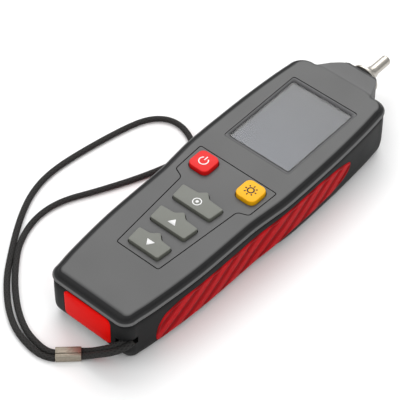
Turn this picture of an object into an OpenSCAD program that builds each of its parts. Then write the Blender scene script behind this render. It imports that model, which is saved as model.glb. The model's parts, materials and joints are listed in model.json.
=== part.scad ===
// Handheld vibration meter with a measuring tip, five keys, a display and a wrist strap.
// It lies on its back: X across, Y from the battery end to the tip, Z up out of the face.

/* [Case] */
// Width across the head, the widest place
case_w = 64.2; // [58:0.2:72]
// Length of the case from the battery end to the shoulders of the head
case_l = 189; // [180:1:205]
// Thickness from the back to the face
case_h = 29; // [27:0.5:34]
// Depth of the front shell, from the face to the line where the two shells meet
front_h = 4.4; // [3.6:0.2:5]
// Wall of both shells
wall = 2.2; // [1.6:0.1:2.6]
// Thickness of the face plate
face_wall = 2.4; // [2:0.1:3]
// Thickness of the floor of the rear shell
floor_wall = 4.2; // [3.8:0.1:4.6]
// Corner radius at the battery end
foot_corner_r = 7; // [5:0.5:9]
// Corner radius at the head
head_corner_r = 8.5; // [6:0.5:10]
// How far the raised face stands in from the ridge
face_inset = 3.9; // [3:0.1:4.5]
// How far the back edge is drawn in at the sides
back_inset = 3.4; // [2.4:0.1:4]
// How far the back edge is drawn in at the battery end
foot_inset = 5.6; // [4:0.1:6.5]
// Depth of the finger hollow across the back
hollow_depth = 2; // [1:0.1:2.4]

/* [Nose and sensor] */
// Reach of the nose beyond the shoulders
nose_l = 15; // [12:0.5:18]
// Width of the nose at its end
nose_w = 17; // [16:0.5:22]
// Width of the nose where it leaves the shoulders
nose_root_w = 37; // [33:0.5:40]
// How far the top of the nose falls to its end
nose_drop = 5; // [4:0.1:7.5]
// Height of the sensor's axis
sensor_z = 16.5; // [14:0.1:16.8]
// Radius of the steel cone's foot
cone_r = 8.2; // [7.2:0.1:8.4]
// Length of the steel cone
cone_l = 8; // [6:0.5:10]
// Radius of the measuring tip
tip_r = 2.8; // [2:0.1:3.2]
// Length of the measuring tip beyond the cone
tip_l = 12; // [8:0.5:20]
// Radius of the cone's shank
shank_r = 5.5; // [5:0.1:5.8]

/* [Display] */
// Width of the picture area
screen_w = 36.8; // [34:0.2:38]
// Height of the picture area
screen_l = 49; // [46:0.5:50]
// Lower edge of the picture, from the battery end
screen_y = 121.5; // [120:0.5:123]
// Border of the window frame at the sides
frame_side = 1.9; // [1.6:0.1:2.2]
// Border of the window frame at its two ends
frame_end = 2.6; // [2:0.1:3]

/* [Keys] */
// Height of the power and lamp keys above the face
round_key_rise = 2.6; // [1:0.1:3]
// Height of the three grey keys above the face
grey_key_rise = 2; // [1:0.1:2.4]
// Size of the power and lamp keys
round_key_size = 11.9; // [9:0.1:12.5]
// Distance between the middles of the power and lamp keys
round_key_pitch = 29.4; // [27:0.2:31]
// Place of the power and lamp keys, from the battery end
round_key_y = 97.9; // [96:0.1:99]
// Width of the top grey key at its upper edge
grey_key_w = 25.2; // [22:0.2:26]
// Height of a grey key, without its peak
grey_key_l = 9; // [7.5:0.1:9.5]
// Lower edge of the bottom grey key, from the battery end
grey_key_y = 38; // [36:0.1:40]
// Distance from one grey key to the next
grey_key_pitch = 16.8; // [15.5:0.1:17.5]
// Travel of a key
key_travel = 0.8; // [0.4:0.1:1]

/* [Battery] */
// Width of the battery
battery_w = 26.5; // [26:0.1:26.5]
// Length of the battery
battery_l = 48.5; // [48:0.1:48.5]
// Thickness of the battery
battery_h = 17.5; // [17:0.1:17.5]
// Length of the battery door
door_l = 46; // [42:0.5:46]
// Width of the battery door
door_w = 32; // [31:0.5:34]

/* [Strap] */
// Width of the strap's cord
strap_w = 3.2; // [2.6:0.1:3.4]
// Thickness of the strap's cord
strap_t = 2.6; // [2:0.1:2.8]
// Length of the metal ferrule
ferrule_l = 12; // [10:0.5:12]

/* [Hidden] */
$fn = 48;

// Overrun of every cut past the face that it opens
over = 1;
// Gap beside a key in its opening, and between loose fitted pieces
key_gap = 0.25;
seat_gap = 0.1;

half_w = case_w / 2;
part_h = case_h - front_h;
nose_end_y = case_l + nose_l;
bush_lip = 0.6;
whole_l = nose_end_y + bush_lip + cone_l + tip_l;
face_in_z = case_h - face_wall;

// Half widths of the ridge line, as shares of half_w, at shares of case_l
side_shares = [[0.037, 0.782], [0.08, 0.823], [0.13, 0.858], [0.185, 0.888], [0.24, 0.91],
               [0.32, 0.922], [0.4, 0.928], [0.445, 0.935], [0.5, 0.966], [0.55, 0.993],
               [0.615, 1], [0.69, 0.997], [0.77, 0.987], [0.85, 0.967], [0.91, 0.942],
               [0.955, 0.912]];

// Levels of the shells: height, then inset at the sides, at the battery end and at the nose,
// as shares of part_h, back_inset, foot_inset and wall
rear_shares = [[0, 1, 1, 2.4], [0.035, 0.62, 0.86, 1.6], [0.1, 0.3, 0.64, 0.9],
               [0.2, 0.16, 0.33, 0.4], [0.3, 0.12, 0.06, 0.15], [0.6, 0.1, 0.04, 0.1],
               [0.92, 0.14, 0.06, 0.1], [0.965, 0.22, 0.13, 0.1], [1, 0.32, 0.19, 0.1]];
// The same above the parting line: height as a share of case_h - part_h, inset of face_inset
front_shares = [[0, 0.26, 0.1], [0.2, 0.26, 0.1], [0.32, 0.06, 0.1], [0.46, 0, 0.1],
                [0.56, 0.06, 0.1], [0.6, 0.3, 0.1], [0.64, 0.5, 0.1], [0.78, 0.68, 0.1],
                [0.9, 0.8, 0.12], [0.97, 0.9, 0.3], [1, 1, 0.7]];

// The hollow of the front shell: height share, then what the wall's inset adds, as a share
front_in_shares = [[0, 0.32], [0.7, 0.34], [1, 0.68]];

function bezier3(a, b, c, t) = a * pow(1 - t, 2) + b * 2 * t * (1 - t) + c * t * t;
function unit(v) = v / norm(v);
function mix(a, b, t) = a + (b - a) * t;
function clamp(v, low, high) = max(low, min(high, v));
// Rounds every corner of a closed outline, r back along both sides
function rounded(pts, r, steps = 4) = let (n = len(pts))
    [for (i = [0:n - 1]) let (p = pts[i], a = p + unit(pts[(i + n - 1) % n] - p) * r,
                              c = p + unit(pts[(i + 1) % n] - p) * r)
        for (k = [0:steps]) bezier3(a, p, c, k / steps)];
// Moves a closed outline, listed counter-clockwise, inwards by d
function inset(pts, d) = let (n = len(pts))
    [for (i = [0:n - 1]) let (a = unit(pts[i] - pts[(i + n - 1) % n]),
                              b = unit(pts[(i + 1) % n] - pts[i]), m = a + b)
        pts[i] + [-m[1], m[0]] * d * 2 / (m * m)];
function box_outline(w, l, y, r, steps = 4) =
    rounded([[w / 2, y], [w / 2, y + l], [-w / 2, y + l], [-w / 2, y]], r, steps);
function mirrored(half) = concat(half, [for (i = [len(half) - 1:-1:0]) if (half[i][0] > 0)
    [-half[i][0], half[i][1]]]);
function at_height(pts, z) = [for (p = pts) [p[0], p[1], z]];

// Right half of the ridge line, from the battery end round to the corner of the nose.
// Each point is [x, y, share of the battery end, share of the nose]; reach is the nose's.
nose_steps = 7;
function nose_rise(x) = let (t = clamp((nose_root_w - 2 * x) / (nose_root_w - nose_w), 0, 1))
    mix(t, t * t * (3 - 2 * t), 0.5);
function soft_min(a, b, r) = let (h = max(r - abs(a - b), 0) / r) min(a, b) - h * h * r / 4;
function half_line(reach) = let (
    foot_x = half_w * side_shares[0][1] - foot_corner_r,
    head = side_shares[len(side_shares) - 1],
    head_x = half_w * head[1] - head_corner_r,
    root_x = nose_root_w / 2)
    concat(
        [for (k = [0:5]) let (a = 90 * k / 6)
            [foot_x + foot_corner_r * sin(a), foot_corner_r * (1 - cos(a)), 1 - k / 6, 0]],
        [for (s = side_shares) [half_w * s[1], case_l * s[0], 0, 0]],
        [for (k = [1:6]) let (a = 90 * k / 6)
            [head_x + head_corner_r * cos(a), case_l - head_corner_r * (1 - sin(a)), 0, k / 12]],
        [for (k = [0:nose_steps]) let (x = mix(root_x, nose_w / 2, k / nose_steps))
            [x, case_l + soft_min(reach, nose_l * nose_rise(x), nose_l / 10), 0,
             mix(0.5, 1, min(1, 2 * k / nose_steps))]]);
function full_line(reach) = let (h = half_line(reach))
    concat(h, [for (i = [len(h) - 1:-1:0]) [-h[i][0], h[i][1], h[i][2], h[i][3]]]);
// One ring of a shell at height z: insets at the side, the battery end and the nose
function ring(z, reach, side, foot, nose) = let (p = full_line(reach), n = len(p))
    [for (i = [0:n - 1]) let (
        before = p[(i + n - 1) % n], after = p[(i + 1) % n],
        d = unit([after[0] - before[0], after[1] - before[1]]),
        depth = side * (1 - p[i][2]) * (1 - p[i][3]) + foot * p[i][2] + nose * p[i][3])
        [p[i][0] - d[1] * depth, p[i][1] + d[0] * depth, z]];
// Reach of the nose at a height: full in the middle, less under the face and at the back
function reach_at(z) = min(nose_l, nose_l * (case_h - z) / nose_drop,
                           nose_l * (0.45 + 0.55 * z / (nose_drop * 0.8)));

module loft(rings) {
    n = len(rings[0]);
    m = len(rings);
    sides = [for (j = [0:m - 2], i = [0:n - 1])
        let (a = j * n + i, b = j * n + (i + 1) % n) each [[a, b + n, b], [a, a + n, b + n]]];
    caps = [[for (i = [0:n - 1]) i], [for (i = [n - 1:-1:0]) (m - 1) * n + i]];
    polyhedron([for (r = rings) each r], concat(sides, caps));
}
// A loft that a flat cut ends at its first and last ring
module flat_loft(rings) {
    last = len(rings) - 1;
    low = rings[0][0][2];
    high = rings[last][0][2];
    intersection() {
        loft(concat([at_height(rings[0], low - over)], rings, [at_height(rings[last], high + over)]));
        block(2 * case_w, 2 * whole_l, -whole_l / 2, low, high - low);
    }
}
// Puts the middle of the length of the part over the origin
module placed() {
    translate([0, -whole_l / 2, 0]) children();
}
module prism(pts, z, h) {
    translate([0, 0, z]) linear_extrude(h) polygon(pts);
}
// A square-cornered block, centred across
module block(w, l, y, z, h) {
    translate([-w / 2, y, z]) cube([w, l, h]);
}
// A solid turned about a line along Y at the sensor's height, from y on
module along_y(y) {
    translate([0, y, sensor_z]) rotate([-90, 0, 0]) children();
}

module rear_outer() {
    flat_loft([for (s = rear_shares) let (z = part_h * s[0])
        ring(z, reach_at(z), back_inset * s[1], foot_inset * s[2], wall * s[3])]);
}
// Space inside the rear shell, up to the root of the nose
rear_side_in = wall + back_inset * 0.3;
rear_foot_in = wall * 2.1;
rear_head_in = wall * 1.4;
function rear_in_half() = concat(
    [[half_w * side_shares[0][1] - rear_side_in * 1.5, rear_foot_in]],
    [for (k = [1:len(side_shares) - 1]) [half_w * side_shares[k][1] - rear_side_in,
                                         case_l * side_shares[k][0]]],
    [[half_w * 0.725, case_l - rear_head_in]]);
module rear_inner() {
    prism(mirrored(rear_in_half()), floor_wall, part_h + over - floor_wall);
    // Room for the posts that come down from the front shell
    for (p = screw_places) translate([p[0], p[1], post_split_z - seat_gap])
        cylinder(r = post_r + seat_gap, h = part_h);
}
module front_outer() {
    flat_loft([for (s = front_shares) let (z = mix(part_h, case_h, s[0]))
        ring(z, reach_at(z), face_inset * s[1], face_inset * s[1], wall * s[2])]);
}
module front_inner() {
    flat_loft([for (s = front_in_shares) let (z = mix(part_h - over, face_in_z, s[0]))
        ring(z, reach_at(z + face_wall) * 0.9, wall + face_inset * s[1],
             wall + face_inset * s[1], wall * 1.6)]);
}

// Screws that hold the shells, and their posts
screw_x_shares = [[-0.64, 0.074], [0.64, 0.074], [-0.66, 0.95], [0.66, 0.95]];
screw_places = [for (s = screw_x_shares) [half_w * s[0], case_l * s[1]]];
screw_head_r = 2.5;
screw_head_h = 1.8;
screw_r = 1.4;
screw_z = 5;
screw_l = 18;
post_r = 3.6;
post_split_z = 17;

// Display stack, from the face down
window_step = 1.6;
frame_corner_r = 1.5;
sight_corner_r = 0.8;
lens_t = 0.8;
lens_lap = 0.8;
frame_w = screen_w + 2 * frame_side;
frame_l = screen_l + 2 * frame_end;
frame_y = screen_y - frame_end;
ledge_z = case_h - window_step;
sight_lap = 0.3;
gasket_t = 0.5;
panel_t = 2.2;
panel_w = 42.6;
panel_l = 59.6;
panel_border = 6;
panel_y = screen_y - panel_border;
panel_z = face_in_z - gasket_t - panel_t;

// Keys, from the face down
mat_t = 0.8;
mat_boss_h = 0.8;
board_t = 1.2;
board_drop = 8.1;
board_z = case_h - board_drop;
board_top_z = board_z + board_t;
board_w = 38;
board_y = 34;
board_head_gap = 16;
board_l = case_l - board_head_gap - board_y;
board_screw_place_shares = [for (x = [-0.444, 0.444], y = [0.242, 0.554]) [x, y]];
board_screw_places = [for (s = board_screw_place_shares)
    [board_w * s[0], board_y + board_l * s[1]]];
board_screw_r = 0.9;
board_post_r = 2.1;
switch_h = 0.4;
switch_r = 3;
mat_z = board_top_z + switch_h;
key_foot_z = mat_z + mat_t + mat_boss_h + key_travel + seat_gap;
flange_t = 0.7;
flange_w = 0.9;
flange_z = face_in_z - flange_t - 2 * seat_gap;
peak_l = 3.7;
peak_w = 7;
grey_taper_share = 0.92;
key_draft = 0.35;
// Width of each grey key at its upper edge as a share of grey_key_w, bottom key first
grey_width_shares = [0.795, 0.915, 1];

function grey_shape(i) = let (top = grey_key_w * grey_width_shares[i] / 2,
    low = top * grey_taper_share, y = grey_key_y + i * grey_key_pitch, h = grey_key_l)
    rounded([[low, y], [top, y + h], [peak_w / 2, y + h + peak_l / 8], [0, y + h + peak_l],
             [-peak_w / 2, y + h + peak_l / 8], [-top, y + h], [-low, y]], grey_key_l / 8, 3);
function round_shape(side) = [for (q = box_outline(round_key_size, round_key_size,
    round_key_y - round_key_size / 2, round_key_size * 0.3, 5))
    [q[0] + side * round_key_pitch / 2, q[1]]];

module key(shape, rise) {
    top_z = case_h + rise;
    loft([at_height(shape, key_foot_z), at_height(shape, case_h - key_gap),
          at_height(inset(shape, key_draft * 0.4), case_h + rise * 0.7),
          at_height(inset(shape, key_draft), case_h + rise * 0.93),
          at_height(inset(shape, key_draft * 2), top_z)]);
    prism(inset(shape, -flange_w), flange_z, flange_t);
}
module key_opening(shape) {
    prism(inset(shape, -key_gap), face_in_z - over, face_wall + 2 * over);
}

// The keypad field's outline, as shares of half_w and case_l
panel_shares = [[0.411, 0.181], [0.55, 0.447], [0.727, 0.459], [0.754, 0.563]];
panel_corner_r = 1.6;
panel_line_w = 0.4;
panel_line_depth = 0.3;
function panel_outline() = rounded(mirrored([for (s = panel_shares)
    [half_w * s[0], case_l * s[1]]]), panel_corner_r, 4);

module front_case() {
    color("dimgray") placed() difference() {
        union() {
            difference() {
                front_outer();
                front_inner();
            }
            for (p = screw_places)
                translate([p[0], p[1], post_split_z]) cylinder(r = post_r, h = face_in_z - post_split_z);
            for (p = board_screw_places)
                translate([p[0], p[1], board_top_z + seat_gap])
                    cylinder(r = board_post_r, h = face_in_z - board_top_z - seat_gap);
        }
        // Window: a step that carries the frame, and the sight opening
        prism(box_outline(frame_w + 2 * seat_gap, frame_l + 2 * seat_gap, frame_y - seat_gap, frame_corner_r),
              ledge_z, window_step + over);
        prism(box_outline(screen_w + sight_lap, screen_l + sight_lap, screen_y - sight_lap / 2, sight_corner_r),
              face_in_z - over, face_wall + 2 * over);
        for (i = [0:2]) key_opening(grey_shape(i));
        for (side = [-1, 1]) key_opening(round_shape(side));
        // Printed field's border line
        difference() {
            prism(panel_outline(), case_h - panel_line_depth, over);
            prism(inset(panel_outline(), panel_line_w), case_h - panel_line_depth - over, 3 * over);
        }
        for (p = screw_places)
            translate([p[0], p[1], post_split_z - over])
                cylinder(r = screw_r, h = screw_z + screw_l - post_split_z + 2 * over);
        for (p = board_screw_places)
            translate([p[0], p[1], board_top_z])
                cylinder(r = board_screw_r, h = face_in_z - board_top_z - over);
    }
}

// Battery bay, door and its hinge
bay_wall = 1.7;
bay_gap = 0.65;
bay_y = foot_inset;
bay_w = battery_w + 2 * bay_gap;
battery_y = bay_y + bay_gap;
battery_end_y = battery_y + battery_l;
door_t = 2;
battery_z = door_t + 2 * seat_gap;
battery_top_z = battery_z + battery_h;
bay_top_z = battery_top_z + seat_gap;
roof_t = 0.8;
snap_room = 5.4;
bay_end_y = battery_end_y + snap_room;
stud_rs = [2.9, 3.7];
stud_x = 6.35;
stud_l = 2.4;
stud_z = battery_z + battery_h / 2;
snap_l = 3.6;
snap_w = 25;
snap_h = 12;
door_end_y = battery_end_y;
door_y = door_end_y - door_l - door_t;
door_gap = 0.15;
hinge_y = door_end_y - door_t / 2;
hinge_z = door_t / 2;
hinge_pin_r = 0.5;
hinge_pin_l = 1.4;
hinge_fit = 0.05;
door_lap = 1;
grip_notch_w = 18;
grip_notch_r = 9;
grip_notch_depth = 0.6;
lead_r = 0.6;
snap_slot = 8;
battery_corner_r = 2;

// Small parts on the board and round the display
gasket_w = 1.8;
holder_wall = 0.5;
ribbon_w = 14;
ribbon_t = 0.2;
ribbon_out = 2;
ribbon_foot = 1.5;
plug_places = [[-10, 66], [-5, 160]];
plug_w = 6;
plug_l = 5;
plug_h = 3.6;
board_head_r = 1.7;
board_head_h = 1;
mat_rim = 2.4;
buzzer_r = 5;
buzzer_h = 3.4;
buzzer_hole_r = 1;
screw_slot_l = 3.6;
screw_slot_w = 0.7;
plate_crown_r = 60;
tip_round = 1.2;

// End plate: a rounded plate let into the battery end
plate_w = 29;
plate_z = 7.4;
plate_top_z = part_h - 0.6;
plate_t = 1.4;
plate_corner_r = 3;

// Side grips: a leaf on each wall, as shares of case_l and part_h, tip last
grip_shares = [[0.42, 0.1], [0.5, 0.15], [0.57, 0.24], [0.66, 0.24], [0.74, 0.28],
               [0.79, 0.37], [0.815, 0.52], [0.822, 0.7], [0.77, 0.83], [0.68, 0.9],
               [0.56, 0.89], [0.4, 0.84], [0.17, 0.84], [0.122, 0.74], [0.1, 0.52],
               [0.094, 0.3], [0.098, 0.1]];
grip_round = 2;
grip_rim = 1.2;
grip_depth = 1.4;
grip_proud = 0.5;
rib_w = 2.2;
rib_depth = 0.6;
rib_tilt = -60;
// Places of the grooves along the grip
rib_place_shares = [for (i = [0:10]) 0.115 + 0.068 * i];

// Finger hollow in the back
hollow_y_shares = [0.295, 0.33, 0.5, 0.6];
// Its outline in Y and Z, carried down past the back
function hollow_outline() = let (y = [for (s = hollow_y_shares) case_l * s],
                                 k = over / hollow_depth)
    [[y[0] - (y[1] - y[0]) * k, -over], [y[3] + (y[3] - y[2]) * k, -over],
     [y[2], hollow_depth], [y[1], hollow_depth]];

// Sensor and its seat in the nose
bush_r = 6.4;
bush_l = 8;
bush_lip_r = 7.2;
collar_y = case_l + 1;
stud_hole_r = 1.9;
cone_flange_t = 1.2;
cone_end_r = 3.3;
base_r = 6.9;
base_t = 2.2;
can_r = 7.2;
can_wall = 0.25;
can_back = 0.8;
can_l = 14;
ring_r = 4.6;
ring_t = 1;
ring_hole_r = 1.9;
electrode_t = 0.2;
electrode_tab = 2;
mass_r = 5.6;
mass_l = 4.9;
bolt_r = 1.45;
bolt_head_r = 2.9;
bolt_head_l = 1.8;
base_y = collar_y - base_t;
stack_y = base_y - 2 * ring_t - electrode_t;

// Strap eye: a round notch across the corner with a bar standing in it
eye_in = 2.5;
eye_x = half_w * side_shares[0][1] - eye_in;
eye_y = 2.4;
eye_z = 13.6;
eye_r = 5.6;
eye_h = 3.9;
bar_back = 2.8;
bar_x = eye_x;
bar_y = eye_y + bar_back;
bar_r = 1;
bar_bite = 1.3;
// Ferrule: its middle, its direction and its section
ferrule_place = [0.5, -13.6];
ferrule_turn = 43;
ferrule_w = 6.8;
ferrule_h = 4.4;
// Height of a cord that lies on the table
lie_z = strap_t / 2;
// Route of the wrist loop on the table, from the ferrule and back to it
loop_points = [[-8, -18], [-12, -18.4], [-17, -17.8], [-22, -16.8], [-27, -14.8], [-32, -12.2],
    [-37.5, -8.6], [-43.5, -3.8], [-50, 2.2], [-57, 10], [-62.5, 17], [-66.5, 25], [-69, 33],
    [-69.8, 41], [-68.8, 49], [-66, 57], [-61, 66], [-56.5, 75], [-52, 84.5], [-48, 94],
    [-45.2, 102], [-43.2, 108.5], [-42.6, 115], [-43.8, 121], [-47, 125.6], [-52, 128.2],
    [-58, 130], [-64.5, 129.6], [-70, 126.6], [-74.5, 121], [-77.4, 113], [-79.6, 104],
    [-81.8, 93], [-83.8, 81], [-85.2, 69], [-85, 57], [-82, 45], [-76.2, 33], [-69.8, 22.6],
    [-62.4, 12], [-55, 2], [-47.2, -6], [-39.2, -12.6], [-31.4, -17.4], [-24, -20.2],
    [-17, -21.6], [-11, -22], [-6.2, -21]];
// Route of the doubled end, from the bar down to the ferrule
tail_points = [[22.5, 2.4, 13.5], [21.5, -0.5, 13], [19.9, -2.9, 12.2], [17.5, -4.8, 10.8],
    [14.6, -6.2, 8.9], [11.6, -7.2, 6.6], [8.6, -8.1, 4.3]];

ferrule_dir = [cos(ferrule_turn), sin(ferrule_turn), 0];
ferrule_side = [-sin(ferrule_turn), cos(ferrule_turn), 0];
ferrule_mid = [ferrule_place[0], ferrule_place[1], ferrule_h / 2];
tail_mouth = ferrule_mid + ferrule_dir * (ferrule_l / 2 + seat_gap);
loop_mouth = ferrule_mid - ferrule_dir * (ferrule_l / 2 + seat_gap)
             + [0, 0, lie_z - ferrule_h / 2];

// One cord of an oval section along points; its two end faces are square to from_dir and to_dir
module cord(points, w, t, from_dir, to_dir, sides = 8) {
    last = len(points) - 1;
    rings = [for (i = [0:last]) let (
        d = i == 0 ? from_dir : i == last ? to_dir : unit(points[i + 1] - points[i - 1]),
        side = unit([-d[1], d[0], 0]), up = cross(d, side))
        [for (k = [0:sides - 1]) let (a = 360 * (k + 0.5) / sides)
            points[i] + side * cos(a) * w / 2 + up * sin(a) * t / 2]];
    n = sides;
    walls = [for (j = [0:last - 1], i = [0:n - 1])
        let (a = j * n + i, b = j * n + (i + 1) % n) each [[a, b + n, b], [a, a + n, b + n]]];
    ends = [[for (i = [0:n - 1]) i], [for (i = [n - 1:-1:0]) last * n + i]];
    polyhedron([for (r = rings) each r], concat(walls, ends));
}
// An outline in X and Z carried along Y
module bar_along_y(pts, y, l) {
    translate([0, y + l, 0]) rotate([90, 0, 0]) linear_extrude(l) polygon(pts);
}

function grip_outline(grow) = inset(rounded([for (s = grip_shares)
    [case_l * s[0], part_h * s[1]]], grip_round, 3), -grow);
// The grip's leaf as a bar across one side, x running outwards
module grip_leaf(grow) {
    rotate([90, 0, 90]) linear_extrude(case_w) polygon(grip_outline(grow));
}
// Wall-high strip that follows the right side, between two insets from the side surface
module side_strip(out, deep) {
    levels = [for (s = rear_shares) if (s[0] < 0.97) s];
    first = 6;
    last = first + len(side_shares) - 1;
    loft([for (s = levels) let (
        z = part_h * s[0],
        face = ring(z, 0, back_inset * s[1] - out, 0, 0),
        back = ring(z, 0, back_inset * s[1] + deep, 0, 0))
        concat([for (i = [first:last]) face[i]], [for (i = [last:-1:first]) back[i]])]);
}
module grip_body() {
    difference() {
        intersection() {
            side_strip(grip_proud, grip_depth);
            grip_leaf(0);
        }
        intersection() {
            side_strip(grip_proud + over, rib_depth - grip_proud);
            grip_leaf(-grip_rim);
            union() for (s = rib_place_shares)
                translate([0, case_l * s, part_h / 2]) rotate([rib_tilt, 0, 0])
                    translate([0, -rib_w / 2, -part_h]) cube([case_w, rib_w, 2 * part_h]);
        }
    }
}
module grip_right() {
    color("firebrick") placed() grip_body();
}
module grip_left() {
    color("firebrick") placed() mirror([1, 0, 0]) grip_body();
}

module both_sides() {
    children();
    mirror([1, 0, 0]) children();
}
module bay_cavity() {
    block(bay_w, bay_end_y - bay_y, bay_y, floor_wall, bay_top_z - floor_wall);
    block(bay_w, battery_end_y + bay_gap / 2 - bay_y, bay_y, door_t - seat_gap, floor_wall);
}
module rear_case() {
    color("#2b2d2e") placed() difference() {
        rear_outer();
        // The hollow, short of the battery bay, the screw posts and the block by the strap
        difference() {
            rear_inner();
            block(bay_w + 2 * bay_wall, bay_end_y + bay_wall - bay_y + wall / 2,
                  bay_y - wall / 2, floor_wall - over, bay_top_z + roof_t - floor_wall + over);
            for (p = screw_places)
                translate([p[0], p[1], floor_wall - over])
                    cylinder(r = post_r, h = post_split_z - seat_gap - floor_wall + over);
            translate([eye_x, eye_y, 0]) cylinder(r = eye_r + wall, h = eye_z + eye_h);
        }
        bay_cavity();
        // Door: its recess, the way in, its hinge holes and the groove for its round edge
        block(door_w + 2 * door_gap, door_end_y - door_y + 2 * door_gap, door_y - door_gap,
              -over, door_t + door_gap + over);
        block(door_w - 2 * door_lap, door_end_y - door_y - 2 * door_lap, door_y + door_lap,
              -over, floor_wall + 2 * over);
        both_sides() translate([door_w / 2 - over, hinge_y, hinge_z]) rotate([0, 90, 0])
            cylinder(r = hinge_pin_r + hinge_fit, h = over + hinge_pin_l + 2 * seat_gap);
        // Way out for the battery leads
        translate([-stud_x - snap_slot / 2, bay_end_y - over, stud_z])
            cube([snap_slot, bay_wall + 2 * over, bay_top_z - stud_z]);
        for (p = screw_places) translate([p[0], p[1], -over]) {
            cylinder(r = screw_head_r + 3 * seat_gap, h = over + screw_z);
            cylinder(r = screw_r + 2 * seat_gap, h = over + post_split_z);
        }
        // Bores for the sensor's can and its bush
        along_y(case_l - rear_head_in - over)
            cylinder(r = can_r + seat_gap, h = collar_y + over + rear_head_in - case_l);
        along_y(collar_y - over) cylinder(r = bush_r, h = nose_l + 3 * over);
        // Recess of the end plate
        bar_along_y(box_outline(plate_w + 2 * seat_gap, plate_top_z - plate_z + 2 * seat_gap,
                                plate_z - seat_gap, plate_corner_r), -over, over + plate_t);
        both_sides() intersection() {
            side_strip(grip_proud + over, grip_depth + seat_gap);
            grip_leaf(seat_gap);
        }
        // Strap's notch and the holes that hold its bar
        translate([eye_x, eye_y, eye_z - eye_h / 2]) cylinder(r = eye_r, h = eye_h);
        translate([bar_x, bar_y, eye_z - eye_h / 2 - bar_bite])
            cylinder(r = bar_r, h = eye_h + 2 * bar_bite);
        // Finger hollow across the back
        rotate([90, 0, 90]) translate([0, 0, -case_w])
            linear_extrude(2 * case_w) polygon(hollow_outline());
    }
}
module end_plate() {
    color("red") placed() intersection() {
        bar_along_y(box_outline(plate_w, plate_top_z - plate_z, plate_z, plate_corner_r),
                    0, plate_t - seat_gap);
        // A crowned face that falls away towards its edges
        translate([0, plate_crown_r, (plate_z + plate_top_z) / 2])
            rotate([0, 90, 0]) translate([0, 0, -plate_w])
                cylinder(r = plate_crown_r, h = 2 * plate_w, $fn = 160);
    }
}
module window_frame() {
    color("gray") placed() difference() {
        prism(box_outline(frame_w, frame_l, frame_y, frame_corner_r), ledge_z,
              window_step - 2 * seat_gap);
        prism(box_outline(screen_w, screen_l, screen_y, sight_corner_r), ledge_z - over,
              window_step + 2 * over);
        prism(box_outline(screen_w + 2 * lens_lap, screen_l + 2 * lens_lap,
                          screen_y - lens_lap, sight_corner_r), ledge_z - over,
              over + lens_t + seat_gap / 2);
    }
}
module window_lens() {
    color("lightsteelblue", 0.6) placed()
        prism(box_outline(screen_w + 2 * lens_lap - 2 * seat_gap,
                          screen_l + 2 * lens_lap - 2 * seat_gap,
                          screen_y - lens_lap + seat_gap, sight_corner_r), ledge_z, lens_t);
}
module window_gasket() {
    color("black") placed() difference() {
        prism(box_outline(screen_w + gasket_w * 2, screen_l + gasket_w * 2,
                          screen_y - gasket_w, frame_corner_r), face_in_z - gasket_t, gasket_t);
        prism(box_outline(screen_w + 2 * sight_lap, screen_l + 2 * sight_lap,
                          screen_y - sight_lap, sight_corner_r), panel_z, 2 * panel_t);
    }
}
module display_panel() {
    color("slategray") placed()
        block(panel_w, panel_l, panel_y, panel_z, panel_t);
}
module display_holder() {
    low = board_top_z;
    color("whitesmoke") placed() difference() {
        block(panel_w + 2 * holder_wall, panel_l + 2 * holder_wall, panel_y - holder_wall,
              low, panel_z + panel_t / 2 - low);
        block(panel_w + 2 * seat_gap, panel_l + 2 * seat_gap, panel_y - seat_gap,
              panel_z, panel_t);
        prism(box_outline(screen_w, screen_l, screen_y, sight_corner_r),
              low + holder_wall, panel_t);
        block(ribbon_w + 2 * seat_gap, 2 * holder_wall, panel_y - 2 * holder_wall,
              low + holder_wall, panel_t * 2);
    }
}
module display_ribbon() {
    z = panel_z + panel_t / 3;
    color("darkorange") placed() translate([-ribbon_w / 2, 0, 0]) {
        translate([0, panel_y - ribbon_out, z]) cube([ribbon_w, ribbon_out, ribbon_t]);
        translate([0, panel_y - ribbon_out, board_top_z])
            cube([ribbon_w, ribbon_t, z - board_top_z + ribbon_t / 2]);
        translate([0, panel_y - ribbon_out - ribbon_foot, board_top_z])
            cube([ribbon_w, ribbon_foot + ribbon_t / 2, ribbon_t]);
    }
}
module main_board() {
    color("darkgreen") placed() difference() {
        block(board_w, board_l, board_y, board_z, board_t);
        for (p = board_screw_places) translate([p[0], p[1], board_z - over])
            cylinder(r = board_screw_r + 2 * seat_gap, h = board_t + 2 * over);
    }
}
// Parts under the board: place across as a share of board_w, along as a share of board_l,
// then width, length and height
chip_places = [[0, 0.655], [-0.2, 0.835], [0.24, 0.245], [0.28, 0.8]];
chip_sizes = [[10, 10, 1.2], [5, 6, 1.5], [6.5, 6, 1.7], [9, 5, 3.2]];
module board_chips() {
    color("#1a1a1a") placed() {
        for (i = [0:len(chip_places) - 1]) let (c = chip_sizes[i])
            translate([board_w * chip_places[i][0] - c[0] / 2,
                       board_y + board_l * chip_places[i][1], board_z - c[2]]) cube(c);
        for (p = plug_places)
            translate([p[0] - plug_w / 2, p[1], board_z - plug_h]) cube([plug_w, plug_l, plug_h]);
    }
}
module board_screws() {
    color("silver") placed() for (p = board_screw_places)
        translate([p[0], p[1], board_z]) {
            translate([0, 0, -board_head_h]) cylinder(r = board_head_r, h = board_head_h);
            cylinder(r = board_screw_r, h = face_in_z - board_z - over);
        }
}
module key_switches() {
    color("gold") placed() {
        for (i = [0:2]) translate([0, grey_key_y + i * grey_key_pitch + grey_key_l / 2,
                                   board_top_z]) cylinder(r = switch_r, h = switch_h);
        for (side = [-1, 1]) translate([side * round_key_pitch / 2, round_key_y, board_top_z])
            cylinder(r = switch_r, h = switch_h);
    }
}
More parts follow.
